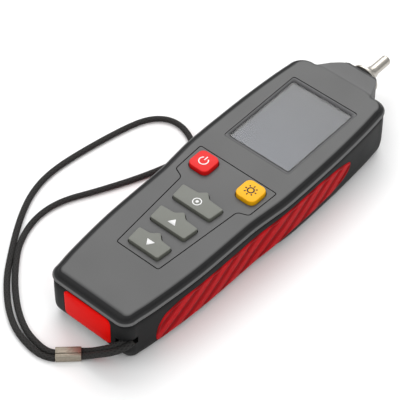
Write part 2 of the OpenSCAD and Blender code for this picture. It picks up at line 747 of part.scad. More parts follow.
module keypad_mat() {
    low = grey_key_y - mat_rim;
    mid = round_key_y - round_key_size / 2 - mat_rim;
    top = round_key_y + round_key_size / 2 + mat_rim;
    narrow = board_screw_places[2][0] - board_post_r - 2 * seat_gap;
    wide = round_key_pitch / 2 + round_key_size / 2 + mat_rim / 2;
    color("gainsboro") placed() {
        prism([[narrow, low], [narrow, mid], [wide, mid], [wide, top], [-wide, top],
               [-wide, mid], [-narrow, mid], [-narrow, low]], mat_z, mat_t);
        // A plunger under each key
        for (i = [0:2]) block(grey_key_w * grey_width_shares[i] * 0.7, grey_key_l * 0.6,
                              grey_key_y + i * grey_key_pitch + grey_key_l * 0.2,
                              mat_z + mat_t / 2, mat_t / 2 + mat_boss_h);
        for (side = [-1, 1]) translate([side * round_key_pitch / 2, round_key_y, mat_z + mat_t / 2])
            cylinder(r = round_key_size * 0.35, h = mat_t / 2 + mat_boss_h);
    }
}
module key_power() {
    color("red") placed() key(round_shape(-1), round_key_rise);
}
module key_lamp() {
    color("gold") placed() key(round_shape(1), round_key_rise);
}
module key_measure() {
    color("#96988c") placed() key(grey_shape(2), grey_key_rise);
}
module key_up() {
    color("#96988c") placed() key(grey_shape(1), grey_key_rise);
}
module key_down() {
    color("#96988c") placed() key(grey_shape(0), grey_key_rise);
}
module buzzer() {
    color("black") placed() translate([board_w * 0.21, case_l / 2, board_z - buzzer_h]) {
        difference() {
            cylinder(r = buzzer_r, h = buzzer_h);
            translate([0, 0, -over]) cylinder(r = buzzer_hole_r, h = over + buzzer_h / 2);
        }
    }
}
module battery() {
    color("goldenrod") placed() {
        bar_along_y(box_outline(battery_w, battery_h, battery_z, battery_corner_r),
                    battery_y, battery_l);
        for (i = [0, 1]) translate([(2 * i - 1) * stud_x, battery_end_y, stud_z])
            rotate([-90, 0, 0]) cylinder(r = stud_rs[i], h = stud_l);
    }
}
module battery_snap() {
    color("#202020") placed() difference() {
        bar_along_y(box_outline(snap_w, snap_h, stud_z - snap_h / 2, battery_corner_r),
                    battery_end_y + seat_gap, snap_l);
        for (i = [0, 1]) translate([(2 * i - 1) * stud_x, battery_end_y, stud_z])
            rotate([-90, 0, 0]) cylinder(r = stud_rs[i] + seat_gap, h = stud_l + seat_gap);
    }
}
module battery_leads() {
    start_y = battery_end_y + seat_gap + snap_l;
    plug = plug_places[0];
    end_z = board_z - plug_h / 2;
    for (i = [0, 1]) let (x = -stud_x + (i - 0.5) * 3 * lead_r, px = plug[0] + (i - 0.5) * 3 * lead_r)
        color(i == 0 ? "red" : "black") placed()
            cord([[x, start_y, stud_z], [x, start_y + 2 * lead_r, stud_z],
                  [mix(x, px, 0.3), mix(start_y, plug[1], 0.4), mix(stud_z, end_z, 0.45)],
                  [mix(x, px, 0.8), mix(start_y, plug[1], 0.7), mix(stud_z, end_z, 0.85)],
                  [px, plug[1] - 2 * lead_r, end_z], [px, plug[1], end_z]],
                 2 * lead_r, 2 * lead_r, [0, 1, 0], [0, 1, 0]);
}
module battery_door() {
    color("#2b2d2e") placed() {
        difference() {
            union() {
                block(door_w, hinge_y - door_y, door_y, 0, door_t);
                translate([-door_w / 2, hinge_y, hinge_z]) rotate([0, 90, 0])
                    cylinder(r = door_t / 2, h = door_w);
            }
            // Thumb notch
            translate([0, door_y + grip_notch_r * 0.9, grip_notch_depth - grip_notch_r])
                rotate([0, 90, 0]) translate([0, 0, -grip_notch_w / 2])
                    cylinder(r = grip_notch_r, h = grip_notch_w);
        }
        both_sides() translate([door_w / 2 - over, hinge_y, hinge_z]) rotate([0, 90, 0])
            cylinder(r = hinge_pin_r, h = over + hinge_pin_l);
    }
}
module case_screws() {
    color("silver") placed() for (p = screw_places)
        translate([p[0], p[1], screw_z - screw_head_h]) difference() {
            union() {
                cylinder(r = screw_head_r, h = screw_head_h);
                cylinder(r = screw_r, h = screw_head_h + screw_l);
            }
            for (a = [0, 90]) rotate(a) translate([-screw_slot_l / 2, -screw_slot_w / 2, -over])
                cube([screw_slot_l, screw_slot_w, over + screw_head_h / 2]);
        }
}
module nose_bush() {
    color("#181818") placed() {
        along_y(nose_end_y - bush_l) difference() {
            cylinder(r = bush_r, h = bush_l);
            translate([0, 0, -over]) cylinder(r = shank_r, h = bush_l + 2 * over);
        }
        along_y(nose_end_y) difference() {
            cylinder(r = bush_lip_r, h = bush_lip);
            translate([0, 0, -over]) cylinder(r = shank_r, h = bush_lip + 2 * over);
        }
    }
}
module probe_cone() {
    lip_y = nose_end_y + bush_lip - collar_y;
    cone_top = lip_y + cone_l;
    color("gainsboro") placed() along_y(collar_y) rotate_extrude() polygon(concat(
        [[bolt_r, 0], [shank_r, 0], [shank_r, lip_y], [cone_r, lip_y],
         [cone_r, lip_y + cone_flange_t]],
        [for (k = [1:6]) bezier3([cone_r, lip_y + cone_flange_t],
            [cone_end_r * 1.15, lip_y + cone_flange_t * 2], [cone_end_r, cone_top], k / 6)],
        [[stud_hole_r, cone_top], [stud_hole_r, lip_y], [bolt_r, lip_y]]));
}
module probe_tip() {
    color("silver") placed() along_y(whole_l - tip_l - cone_l * 0.8) rotate_extrude() polygon(concat(
        [[0, 0], [stud_hole_r, 0], [stud_hole_r, cone_l * 0.8], [tip_r, cone_l * 0.8]],
        [for (a = [0:15:90]) [tip_r - tip_round * (1 - cos(a)),
                              cone_l * 0.8 + tip_l - tip_round * (1 - sin(a))]],
        [[0, cone_l * 0.8 + tip_l]]));
}
module sensor_base() {
    color("silver") placed() along_y(base_y) difference() {
        cylinder(r = base_r, h = base_t);
        translate([0, 0, -over]) cylinder(r = bolt_r, h = base_t + 2 * over);
    }
}
module sensor_can() {
    color("lightgray") placed() along_y(collar_y - can_l) difference() {
        cylinder(r = can_r, h = can_l);
        translate([0, 0, can_back]) cylinder(r = can_r - can_wall, h = can_l);
        translate([0, 0, -over]) cylinder(r = lead_r * 1.5, h = can_back + 2 * over);
    }
}
module piezo_rings() {
    color("khaki") placed() for (i = [0, 1])
        along_y(stack_y + i * (ring_t + electrode_t)) difference() {
            cylinder(r = ring_r, h = ring_t);
            translate([0, 0, -over]) cylinder(r = ring_hole_r, h = ring_t + 2 * over);
        }
}
module electrode_ring() {
    color("goldenrod") placed() along_y(stack_y + ring_t) difference() {
        union() {
            cylinder(r = ring_r, h = electrode_t);
            translate([-electrode_tab / 2, 0, 0]) cube([electrode_tab, ring_r + electrode_tab / 2, electrode_t]);
        }
        translate([0, 0, -over]) cylinder(r = ring_hole_r, h = electrode_t + 2 * over);
    }
}
module seismic_mass() {
    color("darkgray") placed() along_y(stack_y - mass_l) difference() {
        cylinder(r = mass_r, h = mass_l);
        translate([0, 0, -over]) cylinder(r = ring_hole_r, h = mass_l + 2 * over);
    }
}
module sensor_bolt() {
    color("silver") placed() along_y(stack_y - mass_l - bolt_head_l) difference() {
        union() {
            cylinder(r = bolt_head_r, h = bolt_head_l);
            cylinder(r = bolt_r, h = bolt_head_l + mass_l + 2 * ring_t + electrode_t + base_t + over);
        }
        translate([0, 0, -over]) cylinder(r = bolt_r, h = over + bolt_head_l / 2, $fn = 6);
    }
}
module sensor_lead() {
    start_y = collar_y - can_l;
    plug = plug_places[1];
    end = [plug[0], plug[1] + plug_l, board_z - plug_h / 2];
    color("#303030") placed()
        cord([[0, start_y + can_back, sensor_z], [0, start_y - 2 * lead_r, sensor_z],
              [mix(0, end[0], 0.3), mix(start_y, end[1], 0.45), mix(sensor_z, end[2], 0.4)],
              [mix(0, end[0], 0.8), mix(start_y, end[1], 0.75), mix(sensor_z, end[2], 0.85)],
              [end[0], end[1] + 2 * lead_r, end[2]], end],
             2.4 * lead_r, 2.4 * lead_r, [0, -1, 0], [0, -1, 0]);
}
module strap_bar() {
    color("silver") placed() translate([bar_x, bar_y, eye_z - eye_h / 2 - bar_bite])
        cylinder(r = bar_r, h = eye_h + 2 * bar_bite);
}
module strap_tail() {
    color("black") placed()
        cord(concat([[bar_x, bar_y, eye_z]], tail_points, [tail_mouth]), 1.7 * strap_w, strap_t,
             [0, -1, 0], -ferrule_dir);
}
module strap_ferrule() {
    section = box_outline(ferrule_w, ferrule_h, -ferrule_h / 2, ferrule_h * 0.35, 4);
    color("silver") placed() translate(ferrule_mid) rotate([0, 0, ferrule_turn - 90])
        rotate([90, 0, 0]) translate([0, 0, -ferrule_l / 2]) linear_extrude(ferrule_l)
            polygon(section);
}
module strap_loop() {
    color("black") placed()
        cord(concat([loop_mouth + ferrule_side * strap_w * 0.52], [for (p = loop_points)
            [p[0], p[1], lie_z]], [loop_mouth - ferrule_side * strap_w * 0.52]), strap_w, strap_t,
             -ferrule_dir, ferrule_dir);
}

front_case();
rear_case();
grip_left();
grip_right();
end_plate();
window_frame();
window_lens();
window_gasket();
display_panel();
display_holder();
display_ribbon();
main_board();
board_chips();
board_screws();
key_switches();
keypad_mat();
key_power();
key_lamp();
key_measure();
key_up();
key_down();
buzzer();
battery();
battery_snap();
battery_leads();
battery_door();
case_screws();
nose_bush();
probe_cone();
probe_tip();
sensor_base();
sensor_can();
piezo_rings();
electrode_ring();
seismic_mass();
sensor_bolt();
sensor_lead();
strap_bar();
strap_tail();
strap_ferrule();
strap_loop();
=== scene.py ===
"""Looks of a handheld vibration meter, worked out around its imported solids.

The meter lies on its back: X across, Y from the battery end to the measuring tip, Z up out of
the face. Shapes are worked out in millimetres from the battery end and put into the solids'
frame by one shift along Y.
"""
import json
import math

import bmesh
import bpy
import numpy as np
from bpy.props import FloatProperty, FloatVectorProperty, PointerProperty
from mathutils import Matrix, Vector


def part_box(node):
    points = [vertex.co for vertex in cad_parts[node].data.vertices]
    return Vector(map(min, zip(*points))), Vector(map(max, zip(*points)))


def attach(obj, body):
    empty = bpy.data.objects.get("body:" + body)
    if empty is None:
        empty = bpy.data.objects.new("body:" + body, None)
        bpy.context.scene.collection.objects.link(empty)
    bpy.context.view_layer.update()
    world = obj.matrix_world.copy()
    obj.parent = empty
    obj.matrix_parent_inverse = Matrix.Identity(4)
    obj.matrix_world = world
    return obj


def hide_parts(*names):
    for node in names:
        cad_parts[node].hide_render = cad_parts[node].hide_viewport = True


bl_info = {
    "name": "Handheld vibration meter",
    "version": (1, 0, 0),
    "blender": (4, 5, 0),
    "location": "View3D > Sidebar > Meter",
    "description": "Builds the casing, keys, window, grips, probe and strap of a vibration meter",
    "category": "Object",
}

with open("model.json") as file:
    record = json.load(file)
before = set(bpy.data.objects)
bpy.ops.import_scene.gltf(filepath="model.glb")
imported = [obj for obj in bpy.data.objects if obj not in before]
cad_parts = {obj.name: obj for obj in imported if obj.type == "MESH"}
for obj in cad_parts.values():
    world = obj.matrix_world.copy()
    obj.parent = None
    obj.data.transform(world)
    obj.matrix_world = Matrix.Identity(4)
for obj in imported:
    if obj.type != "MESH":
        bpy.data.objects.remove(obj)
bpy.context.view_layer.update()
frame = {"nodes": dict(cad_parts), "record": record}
MM = 0.001
# Half of the meter's length in millimetres: the solids' origin, seen from the battery end
HALF_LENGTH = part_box("probe_tip")[1].y / MM
FIXED = "case"


# Lines and outlines

def smooth_line(y, shares):
    """A smooth curve through (y, value) pairs: cubic pieces with slopes from their neighbours."""
    ys, vs = np.array(shares, float).T
    slope = np.gradient(vs, ys)
    i = np.clip(np.searchsorted(ys, y) - 1, 0, len(ys) - 2)
    h = ys[i + 1] - ys[i]
    t = (y - ys[i]) / h
    return ((1 + 2 * t) * (1 - t) ** 2 * vs[i] + t * (1 - t) ** 2 * h * slope[i]
            + t * t * (3 - 2 * t) * vs[i + 1] + t * t * (t - 1) * h * slope[i + 1])


def soften(points, rounds=2, closed=False):
    """Cuts every corner of a line at a quarter and three quarters, several times over."""
    p = np.array(points, float)
    for _ in range(rounds):
        after = np.roll(p, -1, axis=0) if closed else p[1:]
        before = p if closed else p[:-1]
        cut = np.stack([before * 0.75 + after * 0.25, before * 0.25 + after * 0.75], axis=1)
        cut = cut.reshape(-1, p.shape[1])
        p = cut if closed else np.concatenate([p[:1], cut, p[-1:]])
    return p


def resample(points, count, closed=False):
    """The same line with evenly spaced points."""
    p = np.array(points, float)
    if closed:
        p = np.concatenate([p, p[:1]])
    run = np.concatenate([[0], np.cumsum(np.linalg.norm(np.diff(p, axis=0), axis=1))])
    at = np.linspace(0, run[-1], count, endpoint=not closed)
    return np.stack([np.interp(at, run, p[:, k]) for k in range(p.shape[1])], axis=1)


def rounded_box(w, l, r, steps=10):
    """Corners of a rectangle centred on the origin, turned by quarter circles of radius r."""
    a = np.linspace(0, math.pi / 2, steps)
    corners = [(w / 2 - r, -l / 2 + r, -math.pi / 2), (w / 2 - r, l / 2 - r, 0),
               (-w / 2 + r, l / 2 - r, math.pi / 2), (-w / 2 + r, -l / 2 + r, math.pi)]
    return np.concatenate([np.stack([cx + r * np.cos(a + s), cy + r * np.sin(a + s)], axis=1)
                           for cx, cy, s in corners])


def round_corners(points, r, steps=6):
    """A closed outline whose corners are replaced by parabolas that start r away from them."""
    p = np.array(points, float)
    before, after = np.roll(p, 1, axis=0) - p, np.roll(p, -1, axis=0) - p
    a = p + before / np.linalg.norm(before, axis=1)[:, None] * r
    c = p + after / np.linalg.norm(after, axis=1)[:, None] * r
    t = np.linspace(0, 1, steps)[None, :, None]
    return (a[:, None] * (1 - t) ** 2 + p[:, None] * 2 * t * (1 - t)
            + c[:, None] * t * t).reshape(-1, 2)


def moved_in(outline, depth):
    """A counter-clockwise outline moved inwards along its own normals."""
    d = np.roll(outline, -1, axis=0) - np.roll(outline, 1, axis=0)
    d /= np.linalg.norm(d, axis=1)[:, None]
    return outline + np.stack([-d[:, 1], d[:, 0]], axis=1) * np.broadcast_to(depth, len(d))[:, None]


# Meshes

def grid_faces(rows, cols, close_rows=False, close_cols=False):
    """Quads between neighbours of a grid of rows x cols points, joined round where it closes."""
    r, c = rows - (not close_rows), cols - (not close_cols)
    i, j = np.meshgrid(np.arange(r), np.arange(c), indexing="ij")
    i2, j2 = (i + 1) % rows, (j + 1) % cols
    return np.stack([i * cols + j, i * cols + j2, i2 * cols + j2, i2 * cols + j], -1).reshape(-1, 4)


def to_frame(points):
    """Millimetres from the battery end into metres in the solids' frame."""
    p = np.array(points, float).reshape(-1, 3)
    p[:, 1] -= HALF_LENGTH
    return p * MM


def tidy_mesh(mesh, sharp=math.radians(32), merge=2e-6, outwards=True):
    """Merges doubles, turns every face outwards and marks the edges that stay sharp."""
    b = bmesh.new()
    b.from_mesh(mesh)
    bmesh.ops.remove_doubles(b, verts=b.verts, dist=merge)
    bmesh.ops.dissolve_degenerate(b, edges=b.edges, dist=merge / 4)
    if outwards:
        bmesh.ops.recalc_face_normals(b, faces=b.faces)
    b.to_mesh(mesh)
    b.free()
    mesh.polygons.foreach_set("use_smooth", np.ones(len(mesh.polygons), bool))
    mesh.set_sharp_from_angle(angle=sharp)
    mesh.update()


def linked(name, data):
    """A new object at the origin, linked to the scene."""
    obj = bpy.data.objects.new(name, data)
    bpy.context.scene.collection.objects.link(obj)
    return obj


def new_object(name, points, faces, uv=None):
    """An object at the origin from millimetre points and a list of faces."""
    mesh = bpy.data.meshes.new(name)
    mesh.from_pydata(to_frame(points), [], [list(map(int, f)) for f in faces])
    if uv is not None:
        layer = mesh.uv_layers.new(name="UVMap")
        index = np.zeros(len(mesh.loops), np.int32)
        mesh.loops.foreach_get("vertex_index", index)
        layer.data.foreach_set("uv", np.asarray(uv, np.float32)[index].ravel())
    return linked(name, mesh)


def lofted(name, rings, uv=None):
    """A closed solid through rings of equal count, each an array of points, flat at both ends."""
    r = np.array(rings, float)
    m, n = r.shape[:2]
    faces = grid_faces(m, n, close_cols=True).tolist()
    faces += [list(range(n))[::-1], list(range((m - 1) * n, m * n))]
    return new_object(name, r.reshape(-1, 3), faces, uv)


def at_height(outline, z):
    """An outline in x and y as points at one height."""
    return np.column_stack([outline, np.full(len(outline), z)])


def at_length(outline, y):
    """An outline in x and z as points at one place along the meter."""
    return np.column_stack([outline[:, 0], np.full(len(outline), y), outline[:, 1]])


def prism(name, outline, low, high):
    """An upright block with that outline."""
    o = np.array(outline, float)
    return lofted(name, [at_height(o, z) for z in (low, high)])


def joined(name, objects):
    """One object from several, its parts left apart."""
    points, faces, base = [], [], 0
    for o in objects:
        co = np.zeros(len(o.data.vertices) * 3)
        o.data.vertices.foreach_get("co", co)
        points.append(co.reshape(-1, 3))
        faces += [[base + v for v in p.vertices] for p in o.data.polygons]
        base += len(o.data.vertices)
        bpy.data.objects.remove(o)
    mesh = bpy.data.meshes.new(name)
    mesh.from_pydata(np.concatenate(points), [], faces)
    return linked(name, mesh)


def combined(piece, other, how="DIFFERENCE", overlapping=False):
    """The piece with the other solid cut away from it, joined to it, or the space they share."""
    for o in (piece, other):
        tidy_mesh(o.data)
    mod = piece.modifiers.new("shape", "BOOLEAN")
    mod.operation, mod.solver, mod.object = how, "EXACT", other
    mod.use_self = overlapping
    bpy.context.view_layer.update()
    made = bpy.data.meshes.new_from_object(
        piece.evaluated_get(bpy.context.evaluated_depsgraph_get()))
    piece.modifiers.clear()
    piece.data = made
    bpy.data.objects.remove(other)
    return piece


def finished(piece, material, slot, body=FIXED, nodes=(), sharp=32, outwards=True):
    """Gives a piece its clean mesh, its material and its place on a body, and hides the imported
    solids that it stands for.
    """
    tidy_mesh(piece.data, math.radians(sharp), outwards=outwards)
    piece.data.materials.clear()
    piece.data.materials.append(material)
    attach(piece, body)
    if nodes:
        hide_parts(*nodes)
    return piece


# Materials

def named_group(name, inputs, outputs):
    """A new node group with float inputs (name, default) and outputs (name, socket type)."""
    g = bpy.data.node_groups.new(name, "ShaderNodeTree")
    for label, value in inputs:
        s = g.interface.new_socket(label, in_out="INPUT", socket_type="NodeSocketFloat")
        s.default_value = value
    for label, kind in outputs:
        g.interface.new_socket(label, in_out="OUTPUT", socket_type=kind)
    return g, g.nodes.new("NodeGroupInput"), g.nodes.new("NodeGroupOutput")


def math_node(tree, how, a, b=0):
    """A Math node whose inputs are sockets or plain numbers."""
    n = tree.nodes.new("ShaderNodeMath")
    n.operation = how
    for i, v in enumerate((a, b)):
        if isinstance(v, (int, float)):
            n.inputs[i].default_value = v
        else:
            tree.links.new(v, n.inputs[i])
    return n.outputs[0]


def grain_group():
    """Moulded texture: two noises on Object coordinates give a height and a shade mask."""
    g, gi, go = named_group("moulded_grain", [("Scale", 3000.0), ("Mottle scale", 60.0)],
                            [("Height", "NodeSocketFloat"), ("Mottle", "NodeSocketFloat")])
    n, l = g.nodes, g.links
    co = n.new("ShaderNodeTexCoord")
    for scale, out, detail in (("Scale", "Height", 2.0), ("Mottle scale", "Mottle", 4.0)):
        noise = n.new("ShaderNodeTexNoise")
        noise.inputs["Detail"].default_value = detail
        l.new(co.outputs["Object"], noise.inputs["Vector"])
        l.new(gi.outputs[scale], noise.inputs["Scale"])
        l.new(noise.outputs["Fac"], go.inputs[out])
    return g


def wear_group():
    """Edge wear: where the surface turns sharply, broken up by noise, as a mask from 0 to 1."""
    g, gi, go = named_group("edge_wear", [("Reach", 0.0006), ("Amount", 0.5)],
                            [("Mask", "NodeSocketFloat")])
    n, l = g.nodes, g.links
    geo = n.new("ShaderNodeNewGeometry")
    noise = n.new("ShaderNodeTexNoise")
    noise.inputs["Scale"].default_value = 420.0
    noise.inputs["Detail"].default_value = 5.0
    co = n.new("ShaderNodeTexCoord")
    l.new(co.outputs["Object"], noise.inputs["Vector"])
    sharp = n.new("ShaderNodeMapRange")
    sharp.inputs["From Min"].default_value = 0.53
    sharp.inputs["From Max"].default_value = 0.62
    l.new(geo.outputs["Pointiness"], sharp.inputs["Value"])
    broken = math_node(g, "MULTIPLY", sharp.outputs[0], noise.outputs["Fac"])
    amount = math_node(g, "MULTIPLY", broken, gi.outputs["Amount"])
    l.new(amount, go.inputs["Mask"])
    return g


def turned_group():
    """Lathe lines: rings along Y that vary in depth, as a height."""
    g, gi, go = named_group("turned_lines", [("Lines per metre", 6000.0)],
                            [("Height", "NodeSocketFloat")])
    n, l = g.nodes, g.links
    run = math_node(g, "MULTIPLY", object_axes(g)["Y"], gi.outputs["Lines per metre"])
    noise = n.new("ShaderNodeTexNoise")
    noise.noise_dimensions = "1D"
    noise.inputs["Scale"].default_value = 1.0
    l.new(run, noise.inputs["W"])
    l.new(noise.outputs["Fac"], go.inputs["Height"])
    return g


def braid_group():
    """Braided cord: two crossing families of strands on the UV map, as a height and a mask."""
    g, gi, go = named_group("braid", [("Strands round", 8.0), ("Strands along", 300.0)],
                            [("Height", "NodeSocketFloat"), ("Fibre", "NodeSocketFloat")])
    n, l = g.nodes, g.links
    uv = n.new("ShaderNodeTexCoord")
    sep = n.new("ShaderNodeSeparateXYZ")
    l.new(uv.outputs["UV"], sep.inputs[0])
    u = math_node(g, "MULTIPLY", sep.outputs["X"], gi.outputs["Strands along"])
    v = math_node(g, "MULTIPLY", sep.outputs["Y"], gi.outputs["Strands round"])
    waves = []
    for how in ("ADD", "SUBTRACT"):
        line = math_node(g, how, u, v)
        waves.append(math_node(g, "ABSOLUTE",
                               math_node(g, "SINE", math_node(g, "MULTIPLY", line, math.pi))))
    top = math_node(g, "MAXIMUM", waves[0], waves[1])
    l.new(top, go.inputs["Height"])
    noise = n.new("ShaderNodeTexNoise")
    noise.inputs["Scale"].default_value = 2500.0
    l.new(uv.outputs["Object"], noise.inputs["Vector"])
    l.new(noise.outputs["Fac"], go.inputs["Fibre"])
    return g


GROUPS = {}


def group_node(tree, key, **values):
    """Puts a shared node group into a material with its own values."""
    makers = {"grain": grain_group, "wear": wear_group, "turned": turned_group,
              "braid": braid_group}
    if key not in GROUPS:
        GROUPS[key] = makers[key]()
    node = tree.nodes.new("ShaderNodeGroup")
    node.node_tree = GROUPS[key]
    for label, value in values.items():
        node.inputs[label.replace("_", " ")].default_value = value
    return node


def mixed_colour(tree, factor, a, b):
    """A colour between a and b by a factor socket; a and b are colours or sockets."""
    n = tree.nodes.new("ShaderNodeMix")
    n.data_type = "RGBA"
    tree.links.new(factor, n.inputs["Factor"])
    for label, v in ((6, a), (7, b)):
        if isinstance(v, bpy.types.NodeSocket):
            tree.links.new(v, n.inputs[label])
        else:
            n.inputs[label].default_value = (*v[:3], 1)
    return n.outputs[2]


def object_axes(tree):
    """The X, Y and Z sockets of the Object coordinates."""
    co, sep = tree.nodes.new("ShaderNodeTexCoord"), tree.nodes.new("ShaderNodeSeparateXYZ")
    tree.links.new(co.outputs["Object"], sep.inputs[0])
    return sep.outputs


def shaded(tree, grain, colour, low, high):
    """A colour that the grain's mottle moves between two shares of itself."""
    return mixed_colour(tree, grain.outputs["Mottle"], tuple(c * low for c in colour[:3]),
                        tuple(c * high for c in colour[:3]))


def bump(tree, height, strength, distance):
    """The normal that a height socket gives through a Bump node."""
    n = tree.nodes.new("ShaderNodeBump")
    n.inputs["Strength"].default_value = strength
    n.inputs["Distance"].default_value = distance
    tree.links.new(height, n.inputs["Height"])
    return n.outputs["Normal"]


def between(tree, value, from_low, from_high, to_low, to_high):
    """A value scaled from one range to another and held at its ends."""
    n = tree.nodes.new("ShaderNodeMapRange")
    for label, v in zip(("From Min", "From Max", "To Min", "To Max"),
                        (from_low, from_high, to_low, to_high)):
        n.inputs[label].default_value = v
    tree.links.new(value, n.inputs["Value"])
    return n.outputs[0]


def plain_material(name, **sockets):
    """A Principled material with plain numbers on its own sockets."""
    m = bpy.data.materials.new(name)
    m.use_nodes = True
    shader = m.node_tree.nodes["Principled BSDF"]
    for label, value in sockets.items():
        shader.inputs[label.replace("_", " ")].default_value = value
    return m, m.node_tree, shader


def moulded(name, colour, rough=0.5, grain=3000.0, depth=0.00002, mottle=0.06, wear=0.25,
            **sockets):
    """Moulded plastic or rubber: fine grain, a slight mottle and lighter worn edges."""
    m, t, shader = plain_material(name, **sockets)
    g = group_node(t, "grain", Scale=grain, Mottle_scale=70.0)
    w = group_node(t, "wear", Amount=wear)
    base = shaded(t, g, colour, 1 - mottle, 1 + mottle)
    worn = tuple(min(1, c * 1.5 + 0.02) for c in colour[:3])
    t.links.new(mixed_colour(t, w.outputs["Mask"], base, worn), shader.inputs["Base Color"])
    t.links.new(between(t, g.outputs["Mottle"], 0.2, 0.8, rough - 0.05, rough + 0.05),
                shader.inputs["Roughness"])
    t.links.new(bump(t, g.outputs["Height"], 0.5, depth), shader.inputs["Normal"])
    return m


def metal(name, colour, rough=0.18, lines=6000.0, depth=0.00001):
    """Turned or drawn metal with fine lines round it and a slight change of roughness."""
    m, t, shader = plain_material(name, Metallic=1.0)
    g = group_node(t, "turned", Lines_per_metre=lines)
    s = group_node(t, "grain", Scale=900.0, Mottle_scale=160.0)
    t.links.new(shaded(t, s, colour, 0.93, 1), shader.inputs["Base Color"])
    t.links.new(between(t, s.outputs["Height"], 0.3, 0.7, rough * 0.8, rough * 1.25),
                shader.inputs["Roughness"])
    t.links.new(bump(t, g.outputs["Height"], 0.35, depth), shader.inputs["Normal"])
    return m


def braided(name, colour, along, around):
    """Braided cord: strands by UV, fibres by noise, with a soft sheen, painted shade between the
    strands and painted light on their crests.
    """
    m, t, shader = plain_material(name, Roughness=0.7, Specular_IOR_Level=0.25)
    g = group_node(t, "braid", Strands_along=along, Strands_round=around)
    # Painted shade in the hollows between strands and painted light on their crests, by the braid's
    # height
    low, high = [tuple(c * k for c in colour[:3]) for k in (0.2, 2.0)]
    t.links.new(mixed_colour(t, g.outputs["Height"], low, high), shader.inputs["Base Color"])
    both = math_node(t, "ADD", g.outputs["Height"],
                     math_node(t, "MULTIPLY", g.outputs["Fibre"], 0.5))
    t.links.new(bump(t, both, 0.9, 0.0003), shader.inputs["Normal"])
    return m


# The casing's lines: half width of the ridge at places along the length, in millimetres
CASE_L, CASE_H, PART_H, WALL = 189.0, 29.0, 24.6, 2.2
SIDE = [(0, 24.6), (7.0, 25.1), (15.1, 26.4), (24.6, 27.5), (35, 28.5), (45.4, 29.2),
        (60.5, 29.6), (75.6, 29.8), (84.1, 30.0), (94.5, 31.0), (104, 31.9), (116.2, 32.1),
        (130.4, 32.0), (145.5, 31.7), (160.7, 31.0), (172, 30.2), (180.5, 29.3), (189, 28.2)]
FOOT_R, HEAD_R = 7.0, 8.5
NOSE_L, NOSE_W, NOSE_ROOT_W, NOSE_DROP, SENSOR_Z = 15.0, 17.0, 37.0, 5.0, 16.5
# Height, inset at the sides, at the battery end and at the nose
REAR_LEVELS = [(0, 3.4, 5.6, 5.3), (0.35, 2.7, 5.25, 4.4), (0.9, 2.0, 4.8, 3.5),
               (1.7, 1.4, 4.2, 2.6), (2.6, 1.0, 3.5, 1.9), (4, 0.68, 2.4, 1.2),
               (5.2, 0.54, 1.5, 0.85), (6.2, 0.48, 0.8, 0.6), (7.4, 0.41, 0.32, 0.33),
               (9, 0.38, 0.24, 0.28), (12, 0.34, 0.22, 0.22), (18, 0.36, 0.26, 0.22),
               (22.4, 0.46, 0.34, 0.22), (23.4, 0.62, 0.6, 0.22), (24.1, 0.8, 0.8, 0.22),
               (24.5, 1.05, 1.05, 0.3), (24.6, 1.2, 1.2, 0.45)]
FRONT_LEVELS = [(24.6, 1.25, 1.25, 0.45), (24.75, 1.02, 1.02, 0.3), (25.3, 0.95, 0.95, 0.22),
                (25.55, 0.7, 0.7, 0.22), (25.75, 0.3, 0.3, 0.22), (26.0, 0.08, 0.08, 0.22),
                (26.3, 0, 0, 0.22), (26.6, 0.06, 0.06, 0.22), (26.85, 0.3, 0.3, 0.22),
                (27.0, 0.75, 0.75, 0.22), (27.05, 1.3, 1.3, 0.22), (27.1, 1.9, 1.9, 0.22),
                (27.3, 2.3, 2.3, 0.22), (27.8, 2.6, 2.6, 0.24), (28.3, 2.85, 3.1, 0.35),
                (28.6, 3.15, 3.7, 0.6), (28.8, 3.5, 4.4, 0.9), (28.93, 4.0, 5.2, 1.3),
                (29, 4.8, 6.2, 1.7), (29, 5.4, 6.6, 2.2)]


def soft_min(a, b, r):
    """The lesser of two values, with a parabola of width r where they cross."""
    h = np.maximum(r - np.abs(a - b), 0) / r
    return np.minimum(a, b) - h * h * r / 4


def nose_reach(z):
    """How far the nose stands out at a height: full in the middle, less under the face."""
    return min(NOSE_L, NOSE_L * (CASE_H - z) / NOSE_DROP,
               NOSE_L * (0.45 + 0.55 * z / (NOSE_DROP * 0.8)))


def ridge_line(reach):
    """Right half of the ridge: x, y, share of the battery end, share of the nose.

    A quarter circle at each corner, a smooth side between them, and a nose whose flank rises
    by half a straight line and half a smooth step.
    """
    foot_x, head_x = SIDE[1][1] - FOOT_R, 29.3 - HEAD_R
    a = np.linspace(0, 1, 20)
    foot = np.stack([foot_x + FOOT_R * np.sin(a * math.pi / 2),
                     FOOT_R * (1 - np.cos(a * math.pi / 2)), 1 - a, a * 0], 1)
    y = np.linspace(FOOT_R, CASE_L - HEAD_R, 150)[1:-1]
    side = np.stack([smooth_line(y, SIDE), y, y * 0, y * 0], 1)
    head = np.stack([head_x + HEAD_R * np.cos(a * math.pi / 2),
                     CASE_L - HEAD_R * (1 - np.sin(a * math.pi / 2)), a * 0, a * 0.5], 1)
    k = np.linspace(0, 1, 40)
    x = NOSE_ROOT_W / 2 + (NOSE_W - NOSE_ROOT_W) / 2 * k
    rise = NOSE_L * (k * 0.5 + k * k * (3 - 2 * k) * 0.5)
    nose = np.stack([x, CASE_L + soft_min(reach, rise, NOSE_L / 10), k * 0,
                     0.5 + 0.5 * np.minimum(1, 2 * k)], 1)
    x = np.linspace(NOSE_W / 2, 0, 9)[1:]
    end = np.stack([x, x * 0 + CASE_L + soft_min(reach, NOSE_L, NOSE_L / 10), x * 0,
                    x * 0 + 1], 1)
    x = np.linspace(0, foot_x, 10)[:-1]
    start = np.stack([x, x * 0, x * 0 + 1, x * 0], 1)
    return np.concatenate([start, foot, side, head, nose, end])


